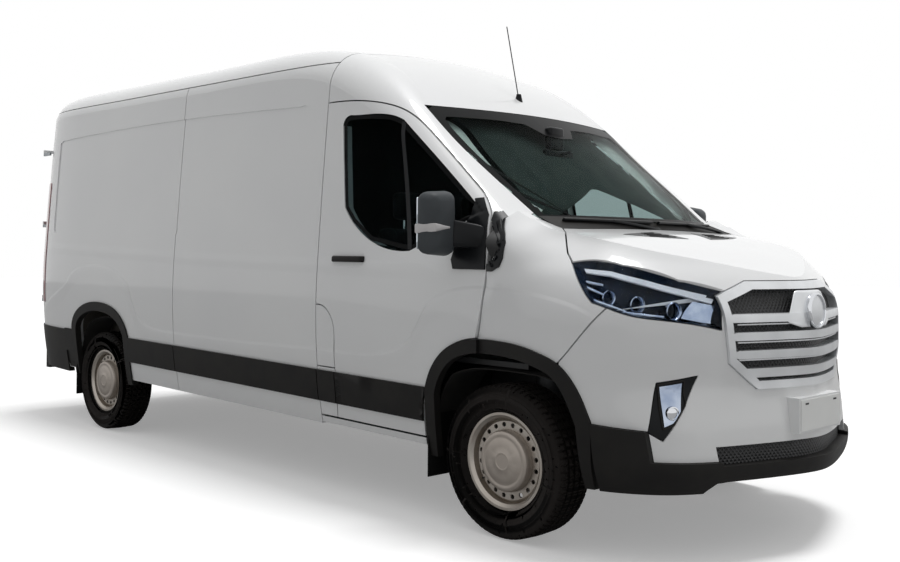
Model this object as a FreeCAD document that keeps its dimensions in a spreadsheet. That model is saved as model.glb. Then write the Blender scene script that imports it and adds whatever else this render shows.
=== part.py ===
import FreeCAD, Part
import Sketcher
import math
import os
from functools import lru_cache
from FreeCAD import Placement, Rotation, Vector

# Panel van, long wheelbase and middle roof, right-hand drive.
# Millimetres. +X is forward, +Y is the van's left, +Z is up.
# The origin is on the ground, halfway along the van.

doc = FreeCAD.newDocument("PanelVan")
sheet = doc.addObject("Spreadsheet::Sheet", "Sizes")

# Driving dimensions, a group for each part of the van.
SIZES = {
    "whole van": [
        ("overall_length", 5940), ("half_width", 1031), ("roof_height", 2525),
        ("wheelbase", 3760), ("front_overhang", 1015), ("cab_length", 2270),
        ("tail_inset", 14), ("nose_inset", 25), ("rake_share", 0.014),
        ("overrun", 400), ("shut_gap", 7), ("seat_gap", 0.3)],
    "body thicknesses": [
        ("wall_thickness", 80), ("roof_thickness", 40), ("pillar_thickness", 60),
        ("door_thickness", 60), ("skin_thickness", 14), ("fender_thickness", 25),
        ("bonnet_frame_depth", 30), ("bonnet_frame_margin", 90),
        ("side_glass_inset", 6), ("side_glass_thickness", 5), ("glass_gap", 0.3),
        ("screen_inset", 2), ("screen_thickness", 7), ("screen_gap", 0.3),
        ("trim_proud", 11), ("trim_depth", 30), ("pressing_depth", 7), ("trim_seat", 0.3), ("frame_ring", 25),
        ("frame_outside", 30), ("frame_inside", 40), ("ditch_depth", 22), ("bow_length", 40),
        ("carrier_wall", 12), ("bulkhead_thickness", 20), ("cowl_depth", 30)],
    "rear doors": [
        ("rear_pillar_width", 78), ("rear_door_bottom", 665), ("rear_door_gap", 10),
        ("hinge_reach", 915), ("hinge_setback", 14), ("hinge_radius", 9), ("hinge_bracket", 110), ("hinge_pad", 40),
        ("hinge_pin_radius", 4), ("hinge_pin_gap", 0.5), ("hinge_leaf", 14),
        ("hinge_knuckle", 24), ("hinge_strap_thickness", 8), ("hinge_strap_length", 200),
        ("hinge_low", 900), ("hinge_mid", 1500), ("hinge_high", 2080)],
    "wheels and tyres": [
        ("tyre_radius", 350), ("tyre_width", 235), ("tread_width", 176),
        ("tyre_shoulder", 14), ("tyre_wide_radius", 276), ("rim_radius", 203),
        ("rim_width", 165), ("rim_flange", 220), ("rim_flange_width", 12),
        ("rim_wall", 9), ("rim_well_radius", 183), ("rim_disc_inset", 38),
        ("rim_disc_radius", 150), ("rim_hole_radius", 11), ("rim_hole_count", 20),
        ("rim_hole_circle", 163), ("hub_cap_radius", 112), ("hub_cap_depth", 22),
        ("hub_radius", 80), ("track_front", 1734), ("track_rear", 1759),
        ("brake_radius", 150), ("brake_thickness", 28), ("brake_inner", 50),
        ("tyre_bead_rise", 5), ("tyre_low_radius", 243), ("tyre_low_width", 206),
        ("tyre_high_radius", 312), ("tyre_high_width", 222), ("tread_drop", 4),
        ("disc_hub_y", 20), ("disc_crest_y", 50), ("disc_edge_y", 36), ("rim_dish", 5),
        ("rim_lip_drop", 14), ("hub_cap_round", 14)],
    "front suspension": [
        ("kingpin_y", 790), ("upright_span", 120), ("upright_inner", 718), ("upright_width", 56),
        ("upright_low", 225), ("upright_high", 560), ("hub_carrier_radius", 58),
        ("arm_inner_y", 330), ("arm_bottom", 192), ("arm_thickness", 32),
        ("arm_width", 44), ("ball_radius", 20), ("ball_block", 40),
        ("arm_spread", 150), ("strut_radius", 28),
        ("strut_y", 620), ("strut_top", 1020), ("spring_radius", 58), ("spring_low", 580),
        ("spring_length", 160), ("tower_width", 180), ("tower_length", 170),
        ("tower_bottom", 770), ("cross_member_width", 160), ("cross_member_bottom", 185),
        ("cross_member_height", 80), ("hub_face_y", 816.7)],
    "rear suspension": [
        ("axle_tube_radius", 46), ("diff_radius", 150), ("diff_width", 170),
        ("spring_y", 560), ("leaf_width", 70), ("leaf_thickness", 36),
        ("leaf_front", 720), ("leaf_rear", 720), ("leaf_rise", 95), ("leaf_eye", 26),
        ("shaft_radius", 45), ("shaft_front_x", 1080)],
    "frame and floor": [
        ("rail_y", 430), ("rail_width", 80), ("rail_depth", 120), ("rail_top", 610), ("front_rail_top", 519.7),
        ("floor_top", 690), ("floor_thickness", 50), ("bearer_width", 60), ("bearer_half_width", 850), ("floor_length", 3560),
        ("rail_front", 2790), ("bulkhead_x", 650), ("radiator_x", 2700),
        ("radiator_length", 50),
        ("wheel_box_inner", 683), ("wheel_box_length", 900), ("wheel_box_top", 930),
        ("wheel_box_wall", 20), ("cab_floor_top", 560), ("cab_floor_thickness", 40),
        ("cab_floor_front", 1500), ("firewall_x", 2030), ("firewall_thickness", 25),
        ("firewall_top", 1320), ("firewall_half_width", 820), ("toe_x", 1790),
        ("well_half_width", 540), ("well_top", 770), ("well_sheet", 25),
        ("well_outer", 900), ("riser_length", 20)],
    "power train": [
        ("engine_length", 560), ("engine_width", 560), ("engine_height", 640),
        ("engine_x", 2100), ("engine_bottom", 380), ("gearbox_length", 620),
        ("gearbox_radius", 112), ("gearbox_z", 395), ("mount_length", 90),
        ("mount_height", 60),
        ("tank_length", 1000), ("tank_width", 340), ("tank_height", 250),
        ("tank_x", -560), ("tank_y", 690), ("tank_bottom", 330),
        ("pipe_radius", 32), ("pipe_y", 330), ("pipe_z", 400),
        ("shaft_z", 372), ("hanger_width", 20), ("silencer_radius", 95), ("silencer_length", 620), ("silencer_x", -560)],
    "seats and dash": [
        ("seat_y", 440), ("seat_x", 1010), ("seat_length", 500), ("seat_width", 500),
        ("seat_base_top", 820), ("cushion_thickness", 130), ("back_height", 640),
        ("back_thickness", 120), ("bench_width", 860), ("bench_y", 330), ("plinth_inset", 40),
        ("head_width", 270), ("head_height", 190), ("head_thickness", 100),
        ("dash_x", 1640), ("dash_depth", 380), ("dash_bottom", 1010), ("dash_top", 1330),
        ("dash_half_width", 840), ("steering_wheel_radius", 195),
        ("steering_wheel_grip", 15), ("steering_wheel_x", 1470),
        ("steering_wheel_z", 1190), ("column_radius", 28), ("column_length", 210),
        ("column_tilt", 30), ("hub_disc_radius", 62), ("hub_disc_depth", 26),
        ("spoke_width", 30), ("spoke_thickness", 12)],
    "antenna and mirrors": [
        ("antenna_x", 1240), ("antenna_height", 430), ("antenna_radius", 3),
        ("antenna_base_radius", 26), ("antenna_base_height", 30), ("antenna_lean", 92),
        ("mirror_width", 185), ("mirror_height", 330), ("mirror_depth", 120),
        ("mirror_x", 1705), ("mirror_y", 1140), ("mirror_z", 1430),
        ("mirror_round", 40), ("mirror_arm_radius", 30), ("mirror_arm_y", 940),
        ("mirror_arm_z", 1350), ("handle_length", 270), ("handle_height", 34), ("handle_x", 815),
        ("handle_z", 1240), ("handle_proud", 24)],
    "flaps and bumpers": [
        ("flap_width", 200), ("flap_thickness", 6), ("flap_bottom", 215),
        ("flap_top", 520), ("flap_y", 800), ("front_flap_x", 1522), ("rear_flap_x", -2186),
        ("rear_bumper_top", 655), ("rear_bumper_bottom", 340),
        ("rear_bumper_wall", 60), ("rear_bumper_depth", 60), ("rear_bumper_proud", 14),
        ("rear_bumper_half_width", 880), ("holder_width", 400), ("holder_height", 152),
        ("holder_depth", 90),
        ("plate_width", 372), ("plate_height", 134), ("plate_thickness", 3),
        ("plate_z", 536), ("lamp_depth", 70), ("fog_depth", 70), ("lip_proud", 18),
        ("lip_wall", 40), ("bumper_wall", 25), ("grille_proud", 10),
        ("grille_depth", 40), ("mesh_inset", 30), ("mesh_thickness", 6),
        ("grille_frame_width", 34), ("slat_height", 36), ("slat_pitch", 86)],
}

row = 0
for group, cells in SIZES.items():
    row += 1
    sheet.set("A%d" % row, group)
    for alias, value in cells:
        row += 1
        sheet.set("A%d" % row, alias.replace("_", " "))
        sheet.set("B%d" % row, str(value))
        sheet.setAlias("B%d" % row, alias)
doc.recompute()


class Cells:
    """The sheet's values by name."""

    def __getattr__(self, alias):
        return float(sheet.get(alias))


class CellNames(dict):
    """Turns a name in braces into a reference to its cell."""

    def __missing__(self, alias):
        return "Sizes." + alias


cell = Cells()

NOSE = "({overall_length} / 2)"
FRONT_AXLE = "({overall_length} / 2 - {front_overhang})"
REAR_AXLE = "({overall_length} / 2 - {front_overhang} - {wheelbase})"
TAIL = "({tail_inset} - {overall_length} / 2)"

nose_x = cell.overall_length / 2
front_axle_x = nose_x - cell.front_overhang
rear_axle_x = front_axle_x - cell.wheelbase
seam_x = nose_x - cell.cab_length
tail_x = cell.tail_inset - nose_x
far = cell.overrun
wide_y = cell.half_width + cell.overrun


def bind(piece, **cells):
    """Binds properties to the sheet. A double underscore stands for a dot."""
    for prop, text in cells.items():
        piece.setExpression(prop.replace("__", "."), text.format_map(CellNames()))
    return piece


def place(piece, at):
    for axis, text in zip("xyz", at):
        if text != "0":
            bind(piece, **{"Placement__Base__" + axis: text})
    return piece


def primitive(kind, name, at, turn=None, **cells):
    piece = doc.addObject("Part::" + kind, name)
    if turn:
        piece.Placement = Placement(Vector(), Rotation(*turn))
    return place(bind(piece, **cells), at)


def box(name, at, length, width, height):
    """A box from its corner, or centred in Y when the corner's y is 'mid'."""
    x, y, z = at
    if y == "mid":
        y = "-(" + width + ") / 2"
    return primitive("Box", name, (x, y, z), Length=length, Width=width, Height=height)


def rod(name, at, radius, length, axis="Z"):
    turns = {"X": (0, 90, 0), "Y": (0, 0, -90), "Z": (0, 0, 0)}
    return primitive("Cylinder", name, at, turns[axis], Radius=radius, Height=length)


def fuse(name, pieces):
    whole = doc.addObject("Part::MultiFuse", name)
    whole.Shapes = pieces
    return whole


def cut(name, base, tool):
    rest = doc.addObject("Part::Cut", name)
    rest.Base = base
    rest.Tool = tool
    return rest


def group(name, pieces):
    """Like pieces that one body carries, kept as solids that don't touch."""
    whole = doc.addObject("Part::Compound", name)
    whole.Links = pieces
    return whole


def mirrored(name, source):
    other = doc.addObject("Part::Mirroring", name)
    other.Source = source
    other.Normal = Vector(0, 1, 0)
    return other


def skin(name, shape):
    """A pressed or moulded free form. Its shape comes from the body surfaces."""
    piece = doc.addObject("Part::Feature", name)
    piece.Shape = shape
    return piece


# The body surfaces.
# A place along the body is a share of the load length behind the cab seam (below
# zero) or of the cab length ahead of it. Heights are shares of the roof height,
# measured from the body's own base line, which leans down to the nose.

def along(share):
    if share < 0:
        return seam_x + share * (seam_x - tail_x)
    return seam_x + share * cell.cab_length


def up(share):
    return share * cell.roof_height


def raked(x, height):
    return height - cell.rake_share * x


class Fair:
    """A smooth curve without overshoot through a short table."""

    def __init__(self, table, scale):
        self.at = [a for a, b in table]
        self.to = [b * scale for a, b in table]
        steps = list(zip(self.at, self.to))
        rises = [(d - b) / (c - a) for (a, b), (c, d) in zip(steps, steps[1:])]
        inner = [0 if p * q <= 0 else 2 * p * q / (p + q) for p, q in zip(rises, rises[1:])]
        self.lean = [rises[0]] + inner + [rises[-1]]

    def __call__(self, x):
        if x <= self.at[0]:
            return self.to[0]
        if x >= self.at[-1]:
            return self.to[-1]
        i = max(k for k in range(len(self.at) - 1) if self.at[k] <= x)
        span = self.at[i + 1] - self.at[i]
        t = (x - self.at[i]) / span
        rise = self.to[i + 1] - self.to[i]
        start = self.lean[i] * span
        end = self.lean[i + 1] * span
        return self.to[i] + t * start + t * t * (3 * rise - 2 * start - end) \
            + t * t * t * (start + end - 2 * rise)


side_width_shares = [
    (0.119, 0.931), (0.143, 0.947), (0.206, 0.981), (0.277, 0.994), (0.356, 1.0),
    (0.455, 0.998), (0.523, 0.990), (0.594, 0.979), (0.673, 0.964), (0.752, 0.948),
    (0.832, 0.931), (0.927, 0.909), (1.030, 0.878)]
roof_line_shares = [
    (-1.0, 0.991), (-0.86, 0.999), (-0.136, 0.999), (-0.068, 0.9925), (0.0, 0.975), (0.108, 0.938), (0.198, 0.891), (0.278, 0.838),
    (0.352, 0.784), (0.441, 0.720), (0.529, 0.6555), (0.617, 0.590), (0.705, 0.525)]
roof_crown_shares = [
    (-1.0, 0.020), (-0.068, 0.020), (0.088, 0.024), (0.264, 0.034), (0.352, 0.040),
    (0.705, 0.044)]
tail_taper_shares = [
    (-1.0, 0.136), (-0.9918, 0.105), (-0.978, 0.078), (-0.956, 0.044),
    (-0.915, 0.014), (-0.860, 0.0), (0.0, 0.0)]
cab_taper_shares = [
    (-0.027, 0.0), (0.044, 0.006), (0.176, 0.021), (0.352, 0.044), (0.529, 0.058),
    (0.705, 0.078)]
taper_height_shares = [
    (0.455, 0.0), (0.527, 0.35), (0.594, 0.8), (0.673, 1.0), (1.030, 1.3)]
shoulder_drop_shares = [
    (-1.0, 0.060), (-0.109, 0.060), (0.088, 0.067), (0.220, 0.063), (0.308, 0.048),
    (0.441, 0.036), (0.705, 0.028)]
shoulder_inset_shares = [
    (-1.0, 0.223), (-0.109, 0.223), (0.088, 0.252), (0.220, 0.194), (0.308, 0.126),
    (0.441, 0.097), (0.705, 0.087)]

side_width = Fair(side_width_shares, cell.half_width)
roof_line = Fair(roof_line_shares, cell.roof_height)
roof_crown = Fair(roof_crown_shares, cell.roof_height)
tail_taper = Fair(tail_taper_shares, cell.half_width)
cab_taper = Fair(cab_taper_shares, cell.half_width)
taper_height = Fair(taper_height_shares, 1)
shoulder_drop = Fair(shoulder_drop_shares, cell.roof_height)
shoulder_inset = Fair(shoulder_inset_shares, cell.half_width)

crown_at_share = 0.737
body_low_share = 0.134
belt_share = 0.497
body_station_shares = [
    -1.0, -0.980, -0.955, -0.915, -0.860, -0.700, -0.500, -0.300, -0.136, -0.068, 0.0,
    0.088, 0.176, 0.264, 0.352, 0.441, 0.529, 0.617, 0.652]
inner_station_shares = [-1.0, -0.955, -0.860, -0.136, 0.0, 0.176, 0.352, 0.529, 0.652]


def roof_slope(share):
    step = 0.001
    rise = roof_line(share + step) - roof_line(share - step)
    return rise / (along(share + step) - along(share - step))


def body_width(share, height, inset=0.0):
    taper = tail_taper(share) + cab_taper(share) * taper_height(height / cell.roof_height)
    return side_width(height / cell.roof_height) - taper - inset


def body_top(share, y, inset=0.0):
    steep = math.sqrt(1 + roof_slope(share) ** 2)
    drop = roof_crown(share) * (y / (crown_at_share * cell.half_width)) ** 2
    return roof_line(share) - drop - inset * steep


def section(share, inset):
    """A cross-section: side below and above the belt, shoulder and roof, all arcs."""
    top = body_top(share, cell.half_width, inset)
    y = body_width(share, top, inset)
    for trial in shoulder_inset_shares:
        top = body_top(share, y, inset)
        y = body_width(share, top, inset)
    low = up(body_low_share)
    foot = top - shoulder_drop(share)
    belt = min(up(belt_share), (low + 2 * foot) / 3)
    heights = [low, (low + belt) / 2, belt, (belt + foot) / 2, foot]
    half = [(body_width(share, z, inset), z) for z in heights]
    end_y = y - shoulder_inset(share)
    end = (end_y, body_top(share, end_y, inset))
    half.append(tuple((a + 2 * b + c) / 4 for a, b, c in zip(half[-1], (y, top), end)))
    half.append(end)
    x = along(share)
    right = [Vector(x, -y, raked(x, z)) for y, z in half]
    left = [Vector(x, y, raked(x, z)) for y, z in reversed(half)]
    middle = Vector(x, 0, raked(x, body_top(share, 0, inset)))
    points = right + [middle] + left
    edges = [Part.Arc(*points[i:i + 3]).toShape() for i in range(0, len(points) - 2, 2)]
    edges.append(Part.makeLine(points[-1], points[0]))
    return Part.Wire(edges)


@lru_cache(maxsize=None)
def body_tube(inset):
    """Load space and cab as one smooth solid, its walls drawn in by the inset."""
    return Part.makeLoft([section(share, inset) for share in body_station_shares], True)


@lru_cache(maxsize=None)
def inner_tube(inset):
    """The same solid in flat strips, for the faces nobody sees."""
    rings = [section(share, inset) for share in inner_station_shares]
    return Part.makeLoft(rings, True, True)


def both_sides(half, at):
    """Points of a row that runs over the van from its right side to its left."""
    right = [at(y, other) for y, other in half]
    left = [Vector(p.x, -p.y, p.z) for p in reversed(right[:-1])]
    return right + left


def closed_solid(grid):
    """The solid under a smooth surface through a grid of points."""
    surface = Part.BSplineSurface()
    surface.interpolate(grid)
    face = surface.toShape()
    ends = [[v.Point for v in e.Vertexes] for e in face.Edges]
    rings = [(e, p) for e, p in zip(face.Edges, ends) if p[0].y * p[-1].y < 0]
    rails = [(e, p) for e, p in zip(face.Edges, ends) if p[0].y * p[-1].y >= 0]
    caps = [Part.Face(Part.Wire([e, Part.makeLine(p[-1], p[0])])) for e, p in rings]
    (a, pa), (b, pb) = rails
    pa.sort(key=lambda p: (round(p.x), p.z))
    pb.sort(key=lambda p: (round(p.x), p.z))
    loop = [a, Part.makeLine(pa[0], pb[0]), b, Part.makeLine(pa[-1], pb[-1])]
    caps.append(Part.Face(Part.Wire(Part.__sortEdges__(loop))))
    sewn = Part.makeCompound([face] + caps)
    sewn.sewShape()
    solid = Part.makeSolid(sewn.Shells[0])
    if solid.Volume < 0:
        solid.reverse()
    return solid


# The nose: a wall that runs round the front, closed above by the bonnet.
nose_plan_shares = [
    (0.485, 1.0), (0.551, 1.0), (0.617, 1.0), (0.683, 1.0), (0.740, 0.984),
    (0.793, 0.936), (0.841, 0.854), (0.881, 0.752), (0.912, 0.621), (0.938, 0.466),
    (0.960, 0.310), (0.980, 0.145), (0.989, 0.0)]
nose_side_inset_shares = [
    (0.119, 0.073), (0.143, 0.054), (0.206, 0.019), (0.277, 0.005), (0.356, 0.0),
    (0.416, 0.002), (0.448, 0.014), (0.483, 0.044), (0.513, 0.105), (0.533, 0.160),
    (0.550, 0.199), (0.570, 0.218), (0.634, 0.228)]
nose_front_inset_shares = [
    (0.119, 0.029), (0.178, -0.024), (0.222, -0.015), (0.253, -0.010), (0.277, 0.0),
    (0.301, 0.012), (0.356, 0.006), (0.416, 0.008), (0.440, 0.017), (0.463, 0.041),
    (0.491, 0.089), (0.515, 0.145), (0.539, 0.189), (0.562, 0.213), (0.634, 0.228)]
nose_lift_shares = [(0.485, 0.085), (0.551, 0.075), (0.617, 0.044), (0.714, 0.0), (1.0, 0.0)]
nose_level_shares = [
    0.136, 0.155, 0.180, 0.206, 0.238, 0.277, 0.317, 0.356, 0.396, 0.424, 0.448,
    0.471, 0.491, 0.511, 0.531, 0.550, 0.570, 0.590, 0.610]
bonnet_line_shares = [
    (0.441, 0.584), (0.529, 0.581), (0.630, 0.573), (0.705, 0.562), (0.793, 0.542),
    (0.859, 0.522), (0.916, 0.502), (0.947, 0.491), (0.991, 0.471), (1.035, 0.451)]
bonnet_station_shares = [
    0.476, 0.529, 0.573, 0.630, 0.705, 0.771, 0.837, 0.881, 0.916, 0.947, 0.978, 1.013]
bonnet_width_shares = [0.0, 0.194, 0.388, 0.582, 0.737, 0.921, 1.115]
bonnet_crown_share = 0.005
front_blend_shares = (0.705, 0.903)

nose_side_inset = Fair(nose_side_inset_shares, cell.half_width)
nose_front_inset = Fair(nose_front_inset_shares, cell.half_width)
nose_lift = Fair(nose_lift_shares, 1)
bonnet_line = Fair(bonnet_line_shares, cell.roof_height)


def smooth_step(value):
    value = min(max(value, 0.0), 1.0)
    return value * value * (3 - 2 * value)


def nose_wall(level, inset):
    """Half of the nose's outline at a level, from the cab round to the middle."""
    plan = [(share, along(share), width * cell.half_width) for share, width in nose_plan_shares]
    first, last = front_blend_shares
    points = []
    for i, (share, x, y) in enumerate(plan):
        before = plan[max(i - 1, 0)]
        after = plan[min(i + 1, len(plan) - 1)]
        run = Vector(after[1] - before[1], after[2] - before[2], 0).normalize()
        out = Vector(-run.y, run.x, 0)
        if i == 0:
            out = Vector(0, 1, 0)
        if i == len(plan) - 1:
            out = Vector(1, 0, 0)
        front = smooth_step((share - first) / (last - first))
        side = nose_side_inset(level - nose_lift(share))
        back = side * (1 - front) + nose_front_inset(level) * front + inset
        points.append((x - back * out.x, y - back * out.y))
    return points


def bonnet_height(share, width_share):
    """Height of the bonnet, and of the fender's top beside the windscreen."""
    crown = bonnet_crown_share * cell.roof_height * (width_share / crown_at_share) ** 2
    beside = min(max((width_share - 0.68) / 0.145, 0.0), 1.0)
    behind = min(max((0.639 - share) / 0.088, 0.0), 1.0)
    return bonnet_line(share) - crown + beside * behind * 0.0475 * cell.roof_height


@lru_cache(maxsize=None)
def nose_block(inset, step=1):
    """Everything ahead of the doors as one solid, drawn in by the inset.
    A step of more than one leaves points out, for the faces nobody sees."""
    grid = []
    for level in nose_level_shares[::step]:
        height = up(level)
        half = nose_wall(level, inset)
        half = half[:-1:step] + half[-1:]
        grid.append(both_sides(half, lambda x, y: Vector(x, -y, raked(x, height))))
    wall = closed_solid(grid)
    rows = []
    for share in bonnet_station_shares:
        x = along(share)
        half = [(w, raked(x, bonnet_height(share, w)) - inset)
                for w in reversed(bonnet_width_shares)]
        rows.append(both_sides(half, lambda w, z: Vector(x, -w * cell.half_width, z)))
    top = Part.BSplineSurface()
    top.interpolate(rows)
    below = top.toShape().extrude(Vector(0, 0, -cell.roof_height))
    return wall.common(below)


def hidden_nose(inset):
    return nose_block(inset, 2)


# Outlines. A run of two points is a straight line and a longer one a smooth curve.

def outline(runs):
    edges = []
    for points in runs:
        if len(points) == 2:
            edges.append(Part.makeLine(*points))
        else:
            curve = Part.BSplineCurve()
            curve.interpolate(points)
            edges.append(curve.toShape())
    start = runs[0][0]
    end = runs[-1][-1]
    if start.distanceToPoint(end) > cell.trim_seat:
        edges.append(Part.makeLine(end, start))
    return Part.Face(Part.Wire(edges))


corner_share = 3.2


def grown(face, amount):
    """The face grown or, below zero, shrunk, with plain curves for its edges."""
    if not amount:
        return face
    edges = []
    for edge in face.makeOffset2D(amount).OuterWire.OrderedEdges:
        corner = edge.Length < corner_share * abs(amount)
        if corner or edge.Curve.TypeId == "Part::GeomLine":
            edges.append(Part.makeLine(edge.Vertexes[0].Point, edge.Vertexes[-1].Point))
        else:
            edges.append(edge.Curve.toBSpline(*edge.ParameterRange).toShape())
    return Part.Face(Part.Wire(Part.__sortEdges__(edges)))


def side_prism(runs, grow=0.0, side=-1):
    """A prism through one side of the body, from an outline in shares."""
    points = [[Vector(along(s), 0, raked(along(s), up(t))) for s, t in run] for run in runs]
    face = grown(outline(points), grow)
    return face.extrude(Vector(0, side * wide_y, 0))


def front_prism(runs, grow=0.0, reach_share=0.8):
    """A prism along the van. Widths are shares of the half width."""
    x = along(reach_share)
    tilt = cell.rake_share * nose_x
    points = [[Vector(x, -w * cell.half_width, up(t) - tilt) for w, t in run] for run in runs]
    face = grown(outline(points), grow)
    return face.extrude(Vector(nose_x - x + far, 0, 0))


def block(x0, x1, y0, y1, z0, z1):
    piece = Part.makeBox(x1 - x0, y1 - y0, z1 - z0, Vector(x0, y0, z0))
    return piece


def slab(low_share, high_share, back, front):
    """Everything between two heights of the raked body, over a stretch of x."""
    lows = [Vector(x, -wide_y, raked(x, up(low_share))) for x in (back, front)]
    highs = [Vector(x, -wide_y, raked(x, up(high_share))) for x in (front, back)]
    face = Part.Face(Part.makePolygon(lows + highs + lows[:1]))
    return face.extrude(Vector(0, 2 * wide_y, 0))


def mirror(shape):
    return shape.mirror(Vector(0, 0, 0), Vector(0, 1, 0))


def largest(shape):
    """The main solid of a cut, without the crumbs beyond the outline."""
    return max(shape.Solids, key=lambda piece: piece.Volume)


outer = body_tube(0)
wall_inner = inner_tube(cell.wall_thickness)
roof_inner = inner_tube(cell.roof_thickness)
pillar_inner = inner_tube(cell.pillar_thickness)
door_inner = inner_tube(cell.door_thickness)
nose_outer = nose_block(0)
nose_skin = nose_block(cell.skin_thickness)
nose_inner = hidden_nose(cell.fender_thickness)

gap = cell.shut_gap
half_gap = gap / 2

door_rear_foot = [(0.060, 0.168), (0.066, 0.238), (0.065, 0.306), (0.061, 0.371),
                  (0.043, 0.393), (0.0, 0.404)]
door_top_line = [(0.0, 0.838), (0.169, 0.827), (0.225, 0.812), (0.326, 0.748),
                 (0.445, 0.658), (0.486, 0.625), (0.514, 0.593)]
door_front_line = [(0.514, 0.593), (0.530, 0.492), (0.525, 0.444), (0.508, 0.368)]
door_arch_line = [(0.508, 0.368), (0.455, 0.356), (0.415, 0.335), (0.379, 0.295),
                  (0.363, 0.259), (0.352, 0.168)]
door_shares = [door_rear_foot, [(0.0, 0.404), (0.0, 0.838)], door_top_line,
               door_front_line, door_arch_line, [(0.352, 0.168), (0.060, 0.168)]]
full_door_shares = [[(0.0, 0.168), (0.0, 0.838)]] + door_shares[2:]
glass_shares = [
    [(0.084, 0.611), (0.070, 0.700), (0.058, 0.785)],
    [(0.058, 0.785), (0.064, 0.799), (0.081, 0.806)],
    [(0.081, 0.806), (0.150, 0.804), (0.211, 0.798), (0.245, 0.786)],
    [(0.245, 0.786), (0.455, 0.630)],
    [(0.455, 0.630), (0.498, 0.596)],
    [(0.498, 0.596), (0.304, 0.523)],
    [(0.304, 0.523), (0.179, 0.541), (0.113, 0.580), (0.084, 0.611)]]

door_region = side_prism(door_shares, -half_gap)
door_hole = side_prism(door_shares, half_gap)
window_region = side_prism(glass_shares)

# The front door, right side first.
door_shell = outer.common(door_region).cut(door_inner)
door_right = skin("DoorFrontRight", largest(door_shell.cut(window_region)))
glass_outer = body_tube(cell.side_glass_inset)
glass_inner = body_tube(cell.side_glass_inset + cell.side_glass_thickness)
glass_region = side_prism(glass_shares, -cell.glass_gap)
glass_right = skin("DoorGlassRight", largest(glass_outer.common(glass_region).cut(glass_inner)))

# Load sides. The wall is as thick as its pressings and inner frames together.
ditch_share = 0.929
sill_share = 0.1485
mid_seam_share = -0.402
side_region = slab(sill_share, ditch_share, tail_x - far, seam_x - half_gap)
load_sides = outer.common(side_region).cut(wall_inner)

rear_arch_shares = [
    [(-0.802, -0.1), (-0.796, 0.271)],
    [(-0.796, 0.271), (-0.789, 0.296), (-0.754, 0.335), (-0.710, 0.352), (-0.654, 0.352),
     (-0.615, 0.339), (-0.586, 0.313), (-0.567, 0.270)],
    [(-0.567, 0.270), (-0.567, -0.1)]]
front_arch_shares = [
    [(0.345, -0.1), (0.363, 0.259)],
    [(0.363, 0.259), (0.379, 0.295), (0.415, 0.335), (0.455, 0.356), (0.501, 0.366),
     (0.560, 0.368), (0.621, 0.364), (0.672, 0.354), (0.710, 0.341), (0.742, 0.312),
     (0.762, 0.277), (0.775, 0.246)],
    [(0.775, 0.246), (0.80, -0.1)]]

arch_band_share = 0.062 * cell.half_width
rear_arch = side_prism(rear_arch_shares)
rear_arch_open = side_prism(rear_arch_shares, -arch_band_share)
front_arch = side_prism(front_arch_shares)
front_arch_open = side_prism(front_arch_shares, -arch_band_share)

rear_limit = block(tail_x - far, along(mid_seam_share) - half_gap, -wide_y, 0, 0, 2 * up(1))
mid_limit = block(along(mid_seam_share) + half_gap, seam_x, -wide_y, 0, 0, 2 * up(1))


def tail_outline(grow):
    """Outline of both rear doors, seen along the van."""
    heights = [cell.rear_door_bottom / cell.roof_height + k * 0.0531 for k in range(13)]
    heights = [h for h in heights if h < ditch_share - 0.02] + [ditch_share]
    x = tail_x
    edge = [Vector(x - far, body_width(-1.0, up(h)) - cell.rear_pillar_width, raked(x, up(h)))
            for h in heights]
    other = [Vector(p.x, -p.y, p.z) for p in reversed(edge)]
    face = outline([edge, [edge[-1], other[0]], other])
    return grown(face, grow).extrude(Vector(far + cell.door_thickness + gap, 0, 0))


# The shallow pressing that stands where a crew van has its side windows.
window_pressing_shares = [
    [(-0.902, 0.8285), (-0.888, 0.8345)],
    [(-0.888, 0.8345), (-0.405, 0.8475), (-0.068, 0.838)],
    [(-0.068, 0.838), (-0.045, 0.832), (-0.042, 0.815)],
    [(-0.042, 0.815), (-0.041, 0.650)],
    [(-0.041, 0.650), (-0.050, 0.590), (-0.085, 0.560), (-0.121, 0.550)],
    [(-0.121, 0.550), (-0.876, 0.5545)],
    [(-0.876, 0.5545), (-0.897, 0.558), (-0.900, 0.5725)],
    [(-0.900, 0.5725), (-0.902, 0.8285)]]
pressing = side_prism(window_pressing_shares).cut(body_tube(cell.pressing_depth))
load_sides = load_sides.cut(pressing)

tail_hole = tail_outline(half_gap)
tail_region = tail_outline(-half_gap)
rear_side = largest(load_sides.common(rear_limit).cut(rear_arch).cut(tail_hole))
mid_side = largest(load_sides.common(mid_limit))

lamp_shares = [[(-1.02, 0.332), (-0.958, 0.332)], [(-0.958, 0.332), (-0.958, 0.707)],
               [(-0.958, 0.707), (-1.02, 0.707)]]
lamp_hole = side_prism(lamp_shares)
bumper_side_shares = [[(-1.1, 0.05), (-1.1, 0.262)], [(-1.1, 0.262), (-0.829, 0.262)],
                      [(-0.829, 0.262), (-0.829, 0.05)]]
bumper_side = side_prism(bumper_side_shares)
rear_side_cut = rear_side.cut(lamp_hole).cut(bumper_side)
lamp_shell = outer.common(lamp_hole).cut(wall_inner).cut(tail_hole)
lamp_right = skin("LampRearRight", largest(lamp_shell))
lamp_left = mirrored("LampRearLeft", lamp_right)
tail_lamps = group("TailLamps", [lamp_right, lamp_left])

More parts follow.
